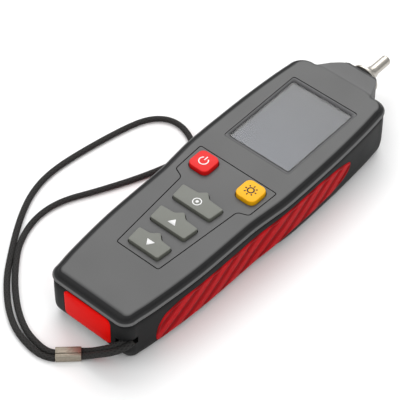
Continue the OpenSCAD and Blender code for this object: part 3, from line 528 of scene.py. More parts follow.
def ring(z, side, foot, nose):
    """The ridge line closed on both sides and moved in along its normals, at height z."""
    half = ridge_line(nose_reach(z))
    left = half[-2:0:-1] * [-1, 1, 1, 1]
    p = np.concatenate([half, left])
    depth = side * (1 - p[:, 2]) * (1 - p[:, 3]) + foot * p[:, 2] + nose * p[:, 3]
    d = np.roll(p[:, :2], -1, axis=0) - np.roll(p[:, :2], 1, axis=0)
    d /= np.linalg.norm(d, axis=1)[:, None]
    out = np.empty((len(p), 3))
    out[:, 0] = p[:, 0] - d[:, 1] * depth
    out[:, 1] = p[:, 1] + d[:, 0] * depth
    out[:, 2] = z
    return out


def levels_between(levels, count):
    """More levels by straight steps whose corners are cut twice."""
    return resample(soften(levels, 2), count)


def back_hollow(p):
    """Lifts the back across the finger hollow, easing in and out along Y, fading up the sides."""
    y, z = p[:, 1], p[:, 2]
    ease = lambda t: np.clip(t, 0, 1) ** 2 * (3 - 2 * np.clip(t, 0, 1))
    rise = 2.0 * ease((y - 55.4) / 7.4) * (1 - ease((y - 92) / 23))
    out = p.copy()
    out[:, 2] = z + rise * np.clip(1 - z / 6, 0, 1)
    return out


def crossed(first):
    """The flat inside of a closed ring as rows from its right points to its left ones."""
    n = len(first)
    half = n // 2 + 1
    t = np.linspace(0, 1, 15)[None, :, None]
    right = first[:half]
    left = first[(-np.arange(half)) % n]
    return right[:, None] * (1 - t) + left[:, None] * t


def shell_solid(name, levels, bend=None, crossed_low=False):
    """A closed solid through the rings of its levels, with its lower side laid as a grid."""
    rings = np.array([ring(z, s, f, n) for z, s, f, n in levels])
    m, n = rings.shape[:2]
    faces = grid_faces(m, n, close_cols=True).tolist()
    faces.append(list(range((m - 1) * n, m * n)))
    points = rings.reshape(-1, 3)
    if crossed_low:
        grid = crossed(rings[0])
        low = grid_faces(*grid.shape[:2]) + len(points)
        faces += low.tolist()
        points = np.concatenate([points, grid.reshape(-1, 3)])
    else:
        faces.append(list(range(n))[::-1])
    if bend:
        points = bend(points)
    return new_object(name, points, faces)


def box_solid(x0, x1, y0, y1, z0, z1):
    """A block between two places along each axis."""
    o = np.array([[x1, y0], [x1, y1], [x0, y1], [x0, y0]], float)
    return prism("cut", o, z0, z1)


def rod_solid(centre, axis, r, l, count=48):
    """A round bar from centre, l long along axis 0, 1 or 2."""
    a = np.linspace(0, 2 * math.pi, count, endpoint=False)
    rings = []
    for s in (0, l):
        p = np.zeros((count, 3))
        p[:, axis] = s
        p[:, (axis + 1) % 3] = r * np.cos(a)
        p[:, (axis + 2) % 3] = r * np.sin(a)
        rings.append(p + centre)
    return lofted("cut", rings)


# Keys, window and the printed field, in millimetres from the battery end
ROUND_KEY = dict(size=11.9, pitch=29.4, y=97.9, rise=2.6, crown=0.35, roll=0.55)
GREY_KEY = dict(w=25.2, l=9.0, y=38.0, pitch=16.8, rise=2.0, shares=(0.795, 0.915, 1.0),
                peak_l=3.7, peak_w=7.0, taper=0.92,
                crown=0.15, roll=0.45)
GREY_NODES = ("key_down", "key_up", "key_measure")
SCREEN = dict(w=36.8, l=49.0, y=121.5, side=1.9, end=2.6)
KEY_GAP, KEY_FOOT_Z, SEAM = 0.25, 25.0, 0.1
SCREWS = [(-20.54, 13.99), (20.54, 13.99), (-21.19, 179.55), (21.19, 179.55)]
# The strap's eye in the corner, its notch, the end plate, the bush, the cone and the pin
EYE_X, EYE_Y, EYE_Z, NOTCH_R, NOTCH_H = 22.6, 2.4, 13.6, 5.6, 3.9
END_PLATE = dict(w=29, h=16.6, r=3.0, z=15.7)
BUSH_R, BUSH_BORE, BUSH_LIP, CONE_R, TIP_R, TIP_L = 6.4, 5.55, 7.2, 8.2, 2.8, 12.0
# Half width, start, end, floor and roof of the battery bay, its opening in the floor, the room
# over the opening's ends and the door's seat
BAY_CUTS = [(13.9, 5.6, 60.15, 4.2, 19.8), (15, 7.75, 53.75, -1, 5.2),
            (13.9, 5.6, 55.075, 1.9, 6.1), (16.15, 6.6, 54.9, -1, 2.15)]


def round_key_outline(side):
    """Rounded square of the red key (side -1) or the yellow one (side 1)."""
    k = ROUND_KEY
    return rounded_box(k["size"], k["size"], k["size"] * 0.27) + [side * k["pitch"] / 2, k["y"]]


def grey_key_outline(i):
    """Tapered bar with a peak on its upper side; i counts from the battery end."""
    k = GREY_KEY
    top = k["w"] * k["shares"][i] / 2
    low, y, h = top * k["taper"], k["y"] + i * k["pitch"], k["l"]
    step = k["peak_l"] / 8
    return round_corners([[low, y], [top, y + h], [k["peak_w"] / 2, y + h + step],
                          [0, y + h + k["peak_l"]], [-k["peak_w"] / 2, y + h + step],
                          [-top, y + h], [-low, y]], h / 8)


def field_outline():
    """The line round all five keys: wide at the round ones, tapering to the battery end."""
    half = [(13.2, 34.2), (17.65, 84.5), (23.3, 86.8), (24.2, 106.4)]
    pts = half + [(-x, y) for x, y in half[::-1]]
    return round_corners(pts, 1.6)


def window_outline(grow, r):
    """The display's opening, grown at its sides and at its ends, with corners of radius r."""
    s = SCREEN
    return rounded_box(s["w"] + 2 * grow[0], s["l"] + 2 * grow[1], r) + [0, s["y"] + s["l"] / 2]


def build_front(sizes, colours):
    """The face shell: lofted outside less a lofted hollow, its window step, key openings, line."""
    piece = shell_solid("face_shell", levels_between(FRONT_LEVELS, 72))
    inside = [(z, WALL + d, WALL + d, nose)
              for z, d, nose in ((23.6, 1.25, 3.5), (25.8, 1.3, 3.6), (26.6, 2.6, 4.2))]
    combined(piece, shell_solid("hollow", inside))
    s = SCREEN
    cuts = [prism("cut", window_outline((s["side"] + SEAM, s["end"] + SEAM), 1.6), 27.4, 30.5)]
    combined(piece, joined("cuts", cuts))
    cuts = [prism("cut", window_outline((0.2, 0.2), 0.9), 25.6, 28)]
    for o in [grey_key_outline(i) for i in range(3)] + [round_key_outline(k) for k in (-1, 1)]:
        rings = [(25.6, KEY_GAP), (28.75, KEY_GAP), (29.0, KEY_GAP + 0.22), (29.5, KEY_GAP + 0.7)]
        cuts.append(lofted("cut", [at_height(moved_in(o, -d), z) for z, d in rings]))
    combined(piece, joined("cuts", cuts))
    line = field_outline()
    outer = prism("cut", line, 28.5, 30)
    combined(outer, prism("cut", moved_in(line, 0.55), 28, 31))
    combined(piece, outer)
    finished(piece, front_material(colours), "face_grey", nodes=["front_case"], sharp=26)


def shell_material(colours):
    """Dark plastic that reads as pale as the face on the nose, where the light falls on it."""
    m, t, shader = plain_material("shell_plastic", Specular_IOR_Level=0.14)
    g = group_node(t, "grain", Scale=3600.0, Mottle_scale=70.0)
    axes = object_axes(t)
    along = between(t, axes["Y"], 0.0745, 0.0785, 0, 1)
    high = between(t, axes["Z"], 0.017, 0.0225, 0, 1)
    nose = math_node(t, "MULTIPLY", along, high)
    dark = shaded(t, g, colours.shell, 0.92, 1.08)
    t.links.new(mixed_colour(t, nose, dark, colours.face[:]), shader.inputs["Base Color"])
    t.links.new(between(t, g.outputs["Mottle"], 0.2, 0.8, 0.45, 0.55),
                shader.inputs["Roughness"])
    t.links.new(bump(t, g.outputs["Height"], 0.5, 0.00003), shader.inputs["Normal"])
    return m


def front_material(colours):
    """Satin grey on the raised face and the ridge, with painted shade in the groove between them,
    chosen by height.
    """
    m, t, shader = plain_material("face_plastic")
    g = group_node(t, "grain", Scale=4200.0, Mottle_scale=45.0)
    w = group_node(t, "wear", Amount=0.15)
    axes = object_axes(t)
    z = axes["Z"]
    face = between(t, z, 0.02878, 0.02898, 0, 1)
    bead_low = between(t, z, 0.02565, 0.02585, 0, 1)
    bead_high = between(t, z, 0.02692, 0.02704, 1, 0)
    bead = math_node(t, "MULTIPLY", bead_low, bead_high)
    nose = between(t, axes["Y"], 0.0735, 0.0765, 0, 1)
    bead = math_node(t, "MAXIMUM", bead, nose)
    # Painted shade: the groove between face and ridge is the face's plastic, given a near-black
    # colour where shade falls
    rim = mixed_colour(t, bead, colours.groove[:], colours.ridge[:])
    base = mixed_colour(t, face, rim, shaded(t, g, colours.face, 0.96, 1.04))
    worn = mixed_colour(t, w.outputs["Mask"], base, tuple(c * 1.3 for c in colours.face))
    t.links.new(worn, shader.inputs["Base Color"])
    # The groove is duller than the face and the ridge
    lit = math_node(t, "MAXIMUM", face, bead)
    satin = between(t, g.outputs["Mottle"], 0.2, 0.8, -0.04, 0.04)
    t.links.new(math_node(t, "ADD", satin, between(t, lit, 0, 1, 0.85, 0.47)),
                shader.inputs["Roughness"])
    t.links.new(bump(t, g.outputs["Height"], 0.4, 0.00002), shader.inputs["Normal"])
    return m


def grip_outline(grow=0.0):
    """The leaf that a grip fills on the side wall, as y and z, counter-clockwise."""
    pts = np.array([[0.42, 0.1], [0.5, 0.15], [0.57, 0.24], [0.66, 0.24], [0.74, 0.28],
                    [0.79, 0.37], [0.815, 0.52], [0.822, 0.7], [0.77, 0.83], [0.68, 0.9],
                    [0.56, 0.89], [0.4, 0.84], [0.17, 0.84], [0.122, 0.74], [0.1, 0.52],
                    [0.094, 0.3], [0.098, 0.1]]) * [CASE_L, PART_H]
    line = soften(round_corners(pts, 2.0, 4), 2, closed=True)
    return moved_in(resample(line, 640, closed=True), -grow)


def side_surface(y, z):
    """Half width of the rear shell at a place along it and a height."""
    heights, insets = np.array(REAR_LEVELS)[:, 0], np.array(REAR_LEVELS)[:, 1]
    return smooth_line(y, SIDE) - np.interp(z, heights, insets)


def grip_rings(grow, count):
    """Rings from a grip's mid line out to its edge, as y and z."""
    edge = grip_outline(grow)
    mid_y = np.clip(edge[:, 0], 26, 146)
    spine = np.column_stack([mid_y, np.interp(mid_y, [18, 60, 110, 150], [10.5, 11.3, 13.8, 14.6])])
    t = np.linspace(0, 1, count)[:, None, None]
    return spine[None] * (1 - t) + edge[None] * t


def grip_solid(name, grow, out, deep, ribs):
    """A closed leaf on the right wall: its outer face stands out by out, its back lies deep in."""
    rings = grip_rings(grow, 30)
    m, n = rings.shape[:2]
    y, z = rings[..., 0], rings[..., 1]
    distance = np.linalg.norm(rings - rings[-1:], axis=-1)
    lift = np.full((m, n), float(out))
    if ribs:
        edge = np.clip(distance / 1.1, 0, 1)
        lift = out * np.sqrt(np.clip(1 - (1 - edge) ** 2, 0, 1)) - 0.12 * (1 - edge)
        across = (y - z / math.tan(math.radians(ribs["lean"]))) / ribs["pitch"]
        phase = across - np.floor(across)
        wave = np.where(phase < ribs["share"], np.sin(phase / ribs["share"] * math.pi) ** 2, 0)
        lift = lift - ribs["depth"] * wave * np.clip((distance - 0.9) / 1.2, 0, 1)
    face = np.stack([side_surface(y, z) + lift, y, z], -1)
    back = np.stack([side_surface(y, z) - deep, y, z], -1)
    points = np.concatenate([face.reshape(-1, 3), back.reshape(-1, 3)])
    top = grid_faces(m, n, close_cols=True)
    low = top[:, ::-1] + m * n
    i = np.arange(n)
    rim = np.stack([(m - 1) * n + i, (m - 1) * n + (i + 1) % n,
                    (2 * m - 1) * n + (i + 1) % n, (2 * m - 1) * n + i], -1)
    return new_object(name, points, np.concatenate([top, low, rim]).tolist())


def mirrored_piece(obj, name):
    """A copy of a piece on the other side of the meter, its faces turned back outwards."""
    mesh = obj.data.copy()
    mesh.name = name
    co = np.zeros(len(mesh.vertices) * 3)
    mesh.vertices.foreach_get("co", co)
    co = co.reshape(-1, 3) * [-1, 1, 1]
    mesh.vertices.foreach_set("co", co.ravel())
    mesh.flip_normals()
    return linked(name, mesh)


def grip_material(colours, ribs):
    """Red rubber with painted shade in its slanted grooves, by the same formula as the grooves'
    shape.
    """
    m, t, shader = plain_material("grip_rubber", Specular_IOR_Level=0.08)
    g = group_node(t, "grain", Scale=2600.0, Mottle_scale=90.0)
    axes = object_axes(t)
    lean = math_node(t, "MULTIPLY", axes["Z"], 1 / math.tan(math.radians(ribs["lean"])))
    run = math_node(t, "ADD", math_node(t, "SUBTRACT", axes["Y"], lean), HALF_LENGTH * MM)
    phase = math_node(t, "FRACT", math_node(t, "DIVIDE", run, ribs["pitch"] * MM))
    wave = math_node(t, "SINE", math_node(t, "MULTIPLY", phase, math.pi / ribs["share"]))
    wave = between(t, wave, 0.0, 1.0, 0.0, 1.0)
    # Painted shade: the grooves get the rubber's colour at half strength
    deep = tuple(c * 0.5 for c in colours.grip)
    t.links.new(mixed_colour(t, wave, shaded(t, g, colours.grip, 0.9, 1.1), deep),
                shader.inputs["Base Color"])
    t.links.new(between(t, g.outputs["Mottle"], 0.2, 0.8, 0.4, 0.5), shader.inputs["Roughness"])
    t.links.new(bump(t, g.outputs["Height"], 0.5, 0.00002), shader.inputs["Normal"])
    return m


def build_grips(sizes, colours):
    """Red side grips: a leaf that follows the wall, rounded at its edge, with slanted grooves."""
    ribs = dict(lean=sizes.rib_lean, pitch=sizes.rib_pitch / MM, depth=sizes.rib_depth / MM,
                share=0.64)
    rubber = grip_material(colours, ribs)
    right = grip_solid("grip_right_skin", 0, 0.5, 1.35, ribs)
    left = mirrored_piece(right, "grip_left_skin")
    finished(right, rubber, "grip_red", nodes=["grip_right"], sharp=40)
    finished(left, rubber, "grip_red", nodes=["grip_left"], sharp=40)


def end_outline(grow):
    """The end plate's outline in x and z."""
    e = END_PLATE
    return rounded_box(e["w"] + 2 * grow, e["h"] + 2 * grow, e["r"], 8) + [0, e["z"]]


def build_rear(sizes, colours):
    """The rear shell: lofted outside with its finger hollow, and all that is cut into it."""
    piece = shell_solid("rear_shell", levels_between(REAR_LEVELS, 60), back_hollow, True)
    # The hollow, short of the bay and the block by the strap
    inner = [(20.3, 4.6), (23.2, 15.1), (26.0, 45), (26.6, 75), (28.9, 116), (28.5, 145),
             (26.1, 180.5), (23.3, 185.9)]
    outline = np.array(inner + [(-x, y) for x, y in inner[::-1]])
    room = prism("cut", outline, 4.2, 25.6)
    combined(room, box_solid(-15.6, 15.6, 4.5, 62.4, 3, 20.6))
    combined(room, rod_solid((EYE_X, EYE_Y, 3), 2, NOTCH_R + WALL, 14.5))
    combined(piece, room)
    for half, start, end, low, high in BAY_CUTS:
        combined(piece, box_solid(-half, half, start, end, low, high))
    for side in (-1, 1):
        bed = grip_solid("cut", 0.14, 3.0, 1.5, None)
        if side < 0:
            twin = mirrored_piece(bed, "cut")
            bpy.data.objects.remove(bed)
            bed = twin
        combined(piece, bed)
    cuts = [lofted("cut", [at_length(end_outline(0.1), y) for y in (1.5, -1.0)]),
            rod_solid((EYE_X, EYE_Y, EYE_Z - NOTCH_H / 2), 2, NOTCH_R, NOTCH_H, 72)]
    cuts += [rod_solid((x, y, -1), 2, 2.8, 6) for x, y in SCREWS]
    combined(piece, joined("cuts", cuts))
    combined(piece, rod_solid((0, 184.9, SENSOR_Z), 1, 7.3, 5.2))
    combined(piece, rod_solid((0, CASE_L, SENSOR_Z), 1, BUSH_R, 20))
    finished(piece, shell_material(colours), "case_dark", nodes=["rear_case"], sharp=26)


def build_end_plate(sizes, colours):
    """The red end plate: a rounded plate whose face is crowned and rolls over at its edge."""
    o = end_outline(0)
    profile = [(0, 1.3), (0, 0.55), (0.12, 0.3), (0.35, 0.12), (0.7, 0.02), (1.3, -0.05)]
    rings = [at_length(moved_in(o, inset), y) for inset, y in profile]
    inset, y = profile[-1]
    for k in np.linspace(0.12, 1, 10):
        e = moved_in(o, inset) * (1 - k) + np.array([0, END_PLATE["z"]]) * k
        rings.append(at_length(e, y - 0.2 * (1 - (1 - k) ** 2)))
    piece = lofted("end_cap", rings)
    red = moulded("end_plastic", colours.plate, rough=0.3, grain=2400, depth=0.000015, wear=0.1,
                  Specular_IOR_Level=0.03)
    finished(piece, red, "plate_red", nodes=["end_plate"], sharp=40)


def build_window(sizes, colours):
    """Window frame as a closed border swept round the opening, and the clear lens in it."""
    s = SCREEN
    profile = [(0, 27.4), (0, 28.55), (0.08, 28.7), (0.25, 28.78), (0.6, 28.76), (1.72, 28.34),
               (1.8, 28.25), (1.8, 27.45)]
    rings = []
    for d, z in profile:
        share = d / s["side"]
        o = window_outline((s["side"] * (1 - share), s["end"] * (1 - share)), 1.5 - 0.4 * share)
        rings.append(at_height(o, z))
    r = np.array(rings)
    faces = grid_faces(len(r), r.shape[1], close_rows=True, close_cols=True)
    frame_piece = new_object("window_border", r.reshape(-1, 3), faces.tolist())
    plastic = moulded("frame_plastic", colours.frame, rough=0.4, grain=3800, depth=0.00001,
                      wear=0.1)
    finished(frame_piece, plastic, "frame_grey", nodes=["window_frame"], sharp=30)
    o = window_outline((0.75, 0.75), 0.8)
    lens_rings = [at_height(moved_in(o, d), z)
                  for z, d in ((27.4, 0), (28.1, 0), (28.18, 0.08), (28.2, 0.2))]
    lens = lofted("window_glass", lens_rings)
    clear, t, shader = plain_material("window_clear", Transmission_Weight=1.0, IOR=1.38)
    g = group_node(t, "grain", Scale=35.0, Mottle_scale=24.0)
    t.links.new(mixed_colour(t, g.outputs["Mottle"], (0.9, 0.91, 0.92), (0.95, 0.95, 0.96)),
                shader.inputs["Base Color"])
    t.links.new(between(t, g.outputs["Height"], 0.3, 0.7, 0.0, 0.03), shader.inputs["Roughness"])
    finished(lens, clear, "lens_clear", nodes=["window_lens"], sharp=40)


def pillow(name, outline, key, flange=0.9):
    """A keycap: a straight skirt, a rolled upper edge and a crowned top, with a flange inside."""
    o = np.array(outline)
    crown, roll = key["crown"], key["roll"]
    centre = o.mean(axis=0)
    rings = [(moved_in(o, -d) if d else o, z) for z, d in
             ((KEY_FOOT_Z, 0), (25.7, 0), (25.7, flange), (26.35, flange), (26.35, 0))]
    a = np.linspace(0, math.pi / 2, 7)
    edge_z = CASE_H + key["rise"] - crown - roll
    rings += [(moved_in(o, roll * (1 - math.cos(t)) * 0.8) if t else o,
               edge_z + roll * math.sin(t)) for t in a]
    last, z0 = rings[-1]
    for k in np.linspace(0.1, 0.98, 10):
        rings.append((last * (1 - k) + centre * k, z0 + crown * (1 - (1 - k) ** 2)))
    return lofted(name, [at_height(p, z) for p, z in rings])


def build_round_keys(sizes, colours):
    """Red power key and yellow lamp key: rounded squares with a crowned top."""
    keys = ((-1, "power_cap", colours.power, "key_red", "key_power"),
            (1, "lamp_cap", colours.lamp, "key_yellow", "key_lamp"))
    for side, name, colour, slot, node in keys:
        cap = pillow(name, round_key_outline(side), ROUND_KEY)
        skin = moulded(name + "_plastic", colour, rough=0.42, grain=2600, depth=0.00001,
                       mottle=0.04, wear=0.15, Specular_IOR_Level=0.2)
        finished(cap, skin, slot, body=node, nodes=[node], sharp=32)


def build_grey_keys(sizes, colours):
    """Three grey keys: a tapered bar with a peak on its upper side and rolled edges."""
    skin = moulded("grey_key_plastic", colours.keys, rough=0.42, grain=2600, depth=0.000012,
                   mottle=0.05, wear=0.15, Specular_IOR_Level=0.4)
    for i, node in enumerate(GREY_NODES):
        outline = resample(grey_key_outline(i), 200, closed=True)
        cap = pillow("cap_" + node[4:], outline, GREY_KEY)
        finished(cap, skin, "key_grey", body=node, nodes=[node], sharp=32)


def lathe(name, profile, y, count=96):
    """A closed solid turned about the sensor's axis from (distance along, radius) pairs."""
    p = np.array(profile, float)
    a = np.linspace(0, 2 * math.pi, count, endpoint=False)
    rings = [np.column_stack([r * np.sin(a), np.full(count, y + s), SENSOR_Z + r * np.cos(a)])
             for s, r in p]
    return lofted(name, rings)


def build_probe(sizes, colours):
    """Turned steel cone and pin at the nose, with the dark bush they stand in."""
    steel = metal("probe_metal", colours.steel, rough=0.34, lines=5200, depth=0.00001)
    nose = CASE_L + NOSE_L
    bush = lathe("probe_bush", [(-8, BUSH_BORE), (-8, BUSH_R), (0, BUSH_R), (0, BUSH_LIP),
                                (0.35, BUSH_LIP), (0.6, BUSH_LIP - 0.2), (0.6, BUSH_BORE)],
                 nose)
    rubber = moulded("bush_rubber", (0.03, 0.03, 0.032), rough=0.55, wear=0.1)
    finished(bush, rubber, "bush_rubber", nodes=["nose_bush"], sharp=35)
    # The flank falls from the flange to the neck along a parabola
    t = np.linspace(0, 1, 24)[:, None]
    flank = ((1 - t) ** 2 * [1.2, CONE_R] + 2 * t * (1 - t) * [2.4, 3.8] + t * t * [8, 3.3])
    cone = lathe("probe_cone_turned", np.concatenate([
        [[-14.6, 5.5], [0, 5.5], [0, 7.9], [0.15, 8.13], [0.35, CONE_R], [1.0, CONE_R]],
        flank, [[8, 2.9]]]), nose + 0.6)
    finished(cone, steel, "probe_steel", nodes=["probe_cone"], sharp=30)
    u = np.linspace(0, math.pi / 2, 10)
    end = np.column_stack([TIP_L - 1.2 * (1 - np.sin(u)), TIP_R - 1.2 * (1 - np.cos(u))])
    pin = lathe("probe_pin_turned", np.concatenate([
        [[-6.4, 1.85], [-0.1, 1.85], [0, 2.55], [0.25, TIP_R]], end]), nose + 8.6)
    finished(pin, steel, "probe_steel", nodes=["probe_tip"], sharp=30)


# Printed symbols, each a thin raised outline

def stroke(line, width, closed=False):
    """A band of one width along a line of x and y, as its left and right edges."""
    p = np.array(line, float)
    d = np.gradient(p, axis=0)
    if closed:
        d = np.roll(p, -1, axis=0) - np.roll(p, 1, axis=0)
    d /= np.linalg.norm(d, axis=1)[:, None]
    side = np.stack([-d[:, 1], d[:, 0]], 1) * width / 2
    return np.stack([p + side, p - side], 1)


def printed(name, shapes, height, body, colour):
    """One thin print from filled outlines and strokes, laid on a height given at each point."""
    points, faces, base = [], [], 0
    for kind, data in shapes:
        flat = np.array(data, float).reshape(-1, 2)
        n = len(flat)
        points.append(np.column_stack([flat, height(flat)]))
        if kind == "fill":
            faces.append([base + i for i in range(n)])
        else:
            i = np.arange(0, n - (0 if kind == "ring" else 2), 2)
            faces += (base + np.stack([i, i + 1, (i + 3) % n, (i + 2) % n], -1)).tolist()
        base += n
    obj = new_object(name, np.concatenate(points), faces)
    b = bmesh.new()
    b.from_mesh(obj.data)
    bmesh.ops.triangulate(b, faces=b.faces)
    for f in b.faces:
        if f.normal.z < 0:
            f.normal_flip()
    b.to_mesh(obj.data)
    b.free()
    mod = obj.modifiers.new("ink", "SOLIDIFY")
    mod.thickness, mod.offset = 0.00003, 0
    ink = moulded(name + "_ink", colour, rough=0.5, grain=5000, depth=0.000003, mottle=0.03,
                  wear=0)
    finished(obj, ink, None, body=body, outwards=False)
    return obj


def circle(x, y, r, start=0.0, end=2 * math.pi, count=48, closed=True):
    """Points of a circle or, from start to end, of an arc."""
    a = np.linspace(start, end, count, endpoint=not closed)
    return np.stack([x + r * np.cos(a), y + r * np.sin(a)], 1)


def crown_height(outline, key):
    """Height of a crowned keycap at points on it, as its rings were raised."""
    o = moved_in(np.array(outline), key["roll"] * 0.8)
    centre = np.array(outline).mean(axis=0)

    def height(p):
        rel = p - centre
        angle = np.arctan2(rel[:, 1], rel[:, 0])
        edge = o - centre
        order = np.argsort(np.arctan2(edge[:, 1], edge[:, 0]))
        e = np.linalg.norm(edge, axis=1)[order]
        a = np.arctan2(edge[:, 1], edge[:, 0])[order]
        share = np.linalg.norm(rel, axis=1) / np.interp(angle, a, e, period=2 * math.pi)
        k = 1 - np.clip(share, 0, 1)
        return CASE_H + key["rise"] - key["crown"] * (1 - k) ** 2 + 0.025
    return height


def build_prints(sizes, colours):
    """Generic signs on the keys: power, lamp, triangles and a dot."""
    white, dark = colours.print_white, colours.print_dark
    y, x = ROUND_KEY["y"], ROUND_KEY["pitch"] / 2
    h = crown_height(round_key_outline(-1), ROUND_KEY)
    arc = circle(-x, y - 0.2, 2.35, math.radians(125), math.radians(415), 40, False)
    bar = np.column_stack([np.full(6, -x), np.linspace(y + 0.3, y + 3.0, 6)])
    printed("sign_power", [("band", stroke(arc, 0.6)), ("band", stroke(bar, 0.6))], h,
            "key_power", white)
    h = crown_height(round_key_outline(1), ROUND_KEY)
    shapes = [("ring", stroke(circle(x, y, 1.6), 0.7, True))]
    for a in np.arange(8) * math.pi / 4:
        d = np.array([math.cos(a), math.sin(a)])
        ray = np.array([x, y]) + d * np.linspace(2.35, 3.35, 4)[:, None]
        shapes.append(("band", stroke(ray, 0.65)))
    printed("sign_lamp", shapes, h, "key_lamp", dark)
    for i, node in enumerate(GREY_NODES):
        o = resample(grey_key_outline(i), 200, closed=True)
        h = crown_height(o, GREY_KEY)
        c = GREY_KEY["y"] + i * GREY_KEY["pitch"] + GREY_KEY["l"] / 2 + 0.1
        if i == 2:
            shapes = [("ring", stroke(circle(0, c, 2.1), 0.55, True)),
                      ("fill", circle(0, c, 0.85))]
        else:
            s = 1 if i == 1 else -1
            tri = np.array([[-2.3, c - 1.5 * s], [2.3, c - 1.5 * s], [0, c + 1.9 * s]])
            if s < 0:
                tri = tri[::-1]
            shapes = [("fill", round_corners(tri, 0.35, 4))]
        printed("sign_" + node[4:], shapes, h, node, white)


# Strap

FERRULE_MID, FERRULE_TURN, FERRULE_L = np.array([0.5, -13.6, 2.2]), math.radians(43), 12.0
ALONG = np.array([math.cos(FERRULE_TURN), math.sin(FERRULE_TURN), 0])
ACROSS = np.array([-ALONG[1], ALONG[0], 0])
# The doubled end from the eye to the ferrule, and the loop's path on the table
TAIL = [[EYE_X, 4.5, EYE_Z], [22.5, 2.4, 13.5], [21.5, -0.5, 13], [19.9, -2.9, 12.2],
        [17.5, -4.8, 10.8], [14.6, -6.2, 8.9], [11.6, -7.2, 6.6], [8.6, -8.1, 4.3]]
LOOP = [[-8, -18], [-12, -18.4], [-17, -17.8], [-22, -16.8], [-27, -14.8], [-32, -12.2],
        [-37.5, -8.6], [-43.5, -3.8], [-50, 2.2], [-57, 10], [-62.5, 17], [-66.5, 25], [-69, 33],
        [-69.8, 41], [-68.8, 49], [-66, 57], [-61, 66], [-56.5, 75], [-52, 84.5], [-48, 94],
        [-45.2, 102], [-43.2, 108.5], [-42.6, 115], [-43.8, 121], [-47, 125.6], [-52, 128.2],
        [-58, 130], [-64.5, 129.6], [-70, 126.6], [-74.5, 121], [-77.4, 113], [-79.6, 104],
        [-81.8, 93], [-83.8, 81], [-85.2, 69], [-85, 57], [-82, 45], [-76.2, 33], [-69.8, 22.6],
        [-62.4, 12], [-55, 2], [-47.2, -6], [-39.2, -12.6], [-31.4, -17.4], [-24, -20.2],
        [-17, -21.6], [-11, -22], [-6.2, -21]]
LIE_Z, STRAP_W, STRAP_T = 1.32, 3.2, 2.6


def swept(name, line, half_w, half_t, count=20, offset=0.0):
    """A tube of oval section along a line, its wide side level, with UV in metres and turns."""
    p = np.array(line, float)
    d = np.gradient(p, axis=0)
    d /= np.linalg.norm(d, axis=1)[:, None]
    side = np.cross(np.broadcast_to([0, 0, 1.0], d.shape), d)
    side /= np.linalg.norm(side, axis=1)[:, None]
    up = np.cross(d, side)
    a = np.linspace(0, 2 * math.pi, count, endpoint=False)
    centre = p + side * offset
    rings = (centre[:, None] + side[:, None] * (half_w * np.cos(a))[None, :, None]
             + up[:, None] * (half_t * np.sin(a))[None, :, None])
    run = np.concatenate([[0], np.cumsum(np.linalg.norm(np.diff(p, axis=0), axis=1))])
    uv = np.stack([np.repeat(run * MM, count),
                   np.tile(a / (2 * math.pi), len(p))], 1)
    return lofted(name, rings, uv), centre


def build_strap(sizes, colours):
    """Braided wrist strap: the doubled end from the eye, its metal ferrule and the loop."""
    weave = braided("strap_braid", colours.strap, 380, 6)
    mouth = FERRULE_MID + ALONG * (FERRULE_L / 2 - 0.4)
    line = resample(soften(TAIL + [list(FERRULE_MID + ALONG * (FERRULE_L / 2 + 0.6)),
                                   list(mouth)], 3), 70)
    twins = [swept("tail", line, 1.62, 1.5, 18, s * 1.58)[0] for s in (-1, 1)]
    tail = joined_uv("strap_twin_end", twins)
    finished(tail, weave, "strap_fabric", nodes=["strap_tail", "strap_bar"], sharp=60)
    section = rounded_box(6.8, 4.4, 1.5, 8)
    rings = []
    for s, d in ((-1, 0.35), (-0.985, 0.12), (-0.95, 0), (0.95, 0), (0.985, 0.12), (1, 0.35)):
        o = moved_in(section, d)
        rings.append(FERRULE_MID + ALONG * s * FERRULE_L / 2 + ACROSS * o[:, :1]
                     + np.array([0, 0, 1.0]) * o[:, 1:])
    clamp = lofted("strap_clamp", rings)
    o = np.array([[-0.25, 1.7], [0.25, 1.7], [0.25, 2.4], [-0.25, 2.4]])
    seam = [FERRULE_MID + ALONG * t + ACROSS * (o[:, :1] - 1.1) + np.array([0, 0, 1.0]) * o[:, 1:]
            for t in (-6.9, 6.9)]
    combined(clamp, lofted("cut", seam))
    tin = metal("ferrule_tin", colours.ferrule, rough=0.55, lines=300, depth=0.00001)
    finished(clamp, tin, "ferrule_metal", nodes=["strap_ferrule"], sharp=35)
    start = FERRULE_MID - ALONG * (FERRULE_L / 2 + 0.05)
    start[2] = LIE_Z
    ends = [start + ACROSS * 1.66, start - ACROSS * 1.66]
    line = [list(ends[0])] + [[x, y, LIE_Z] for x, y in LOOP] + [list(ends[1])]
    line = resample(soften(line, 3), 420)
    loop, centre = swept("strap_cord", line, STRAP_W / 2, STRAP_T / 2)
    finished(loop, weave, "strap_fabric", nodes=["strap_loop"], sharp=60)
    path = to_frame(centre)


def joined_uv(name, objects):
    """Several meshes as one object, their UV maps kept."""
    first = objects[0]
    with bpy.context.temp_override(active_object=first, selected_editable_objects=objects,
                                   selected_objects=objects):
        bpy.ops.object.join()
    first.name = name
    return first


# Solids shown as they are packed

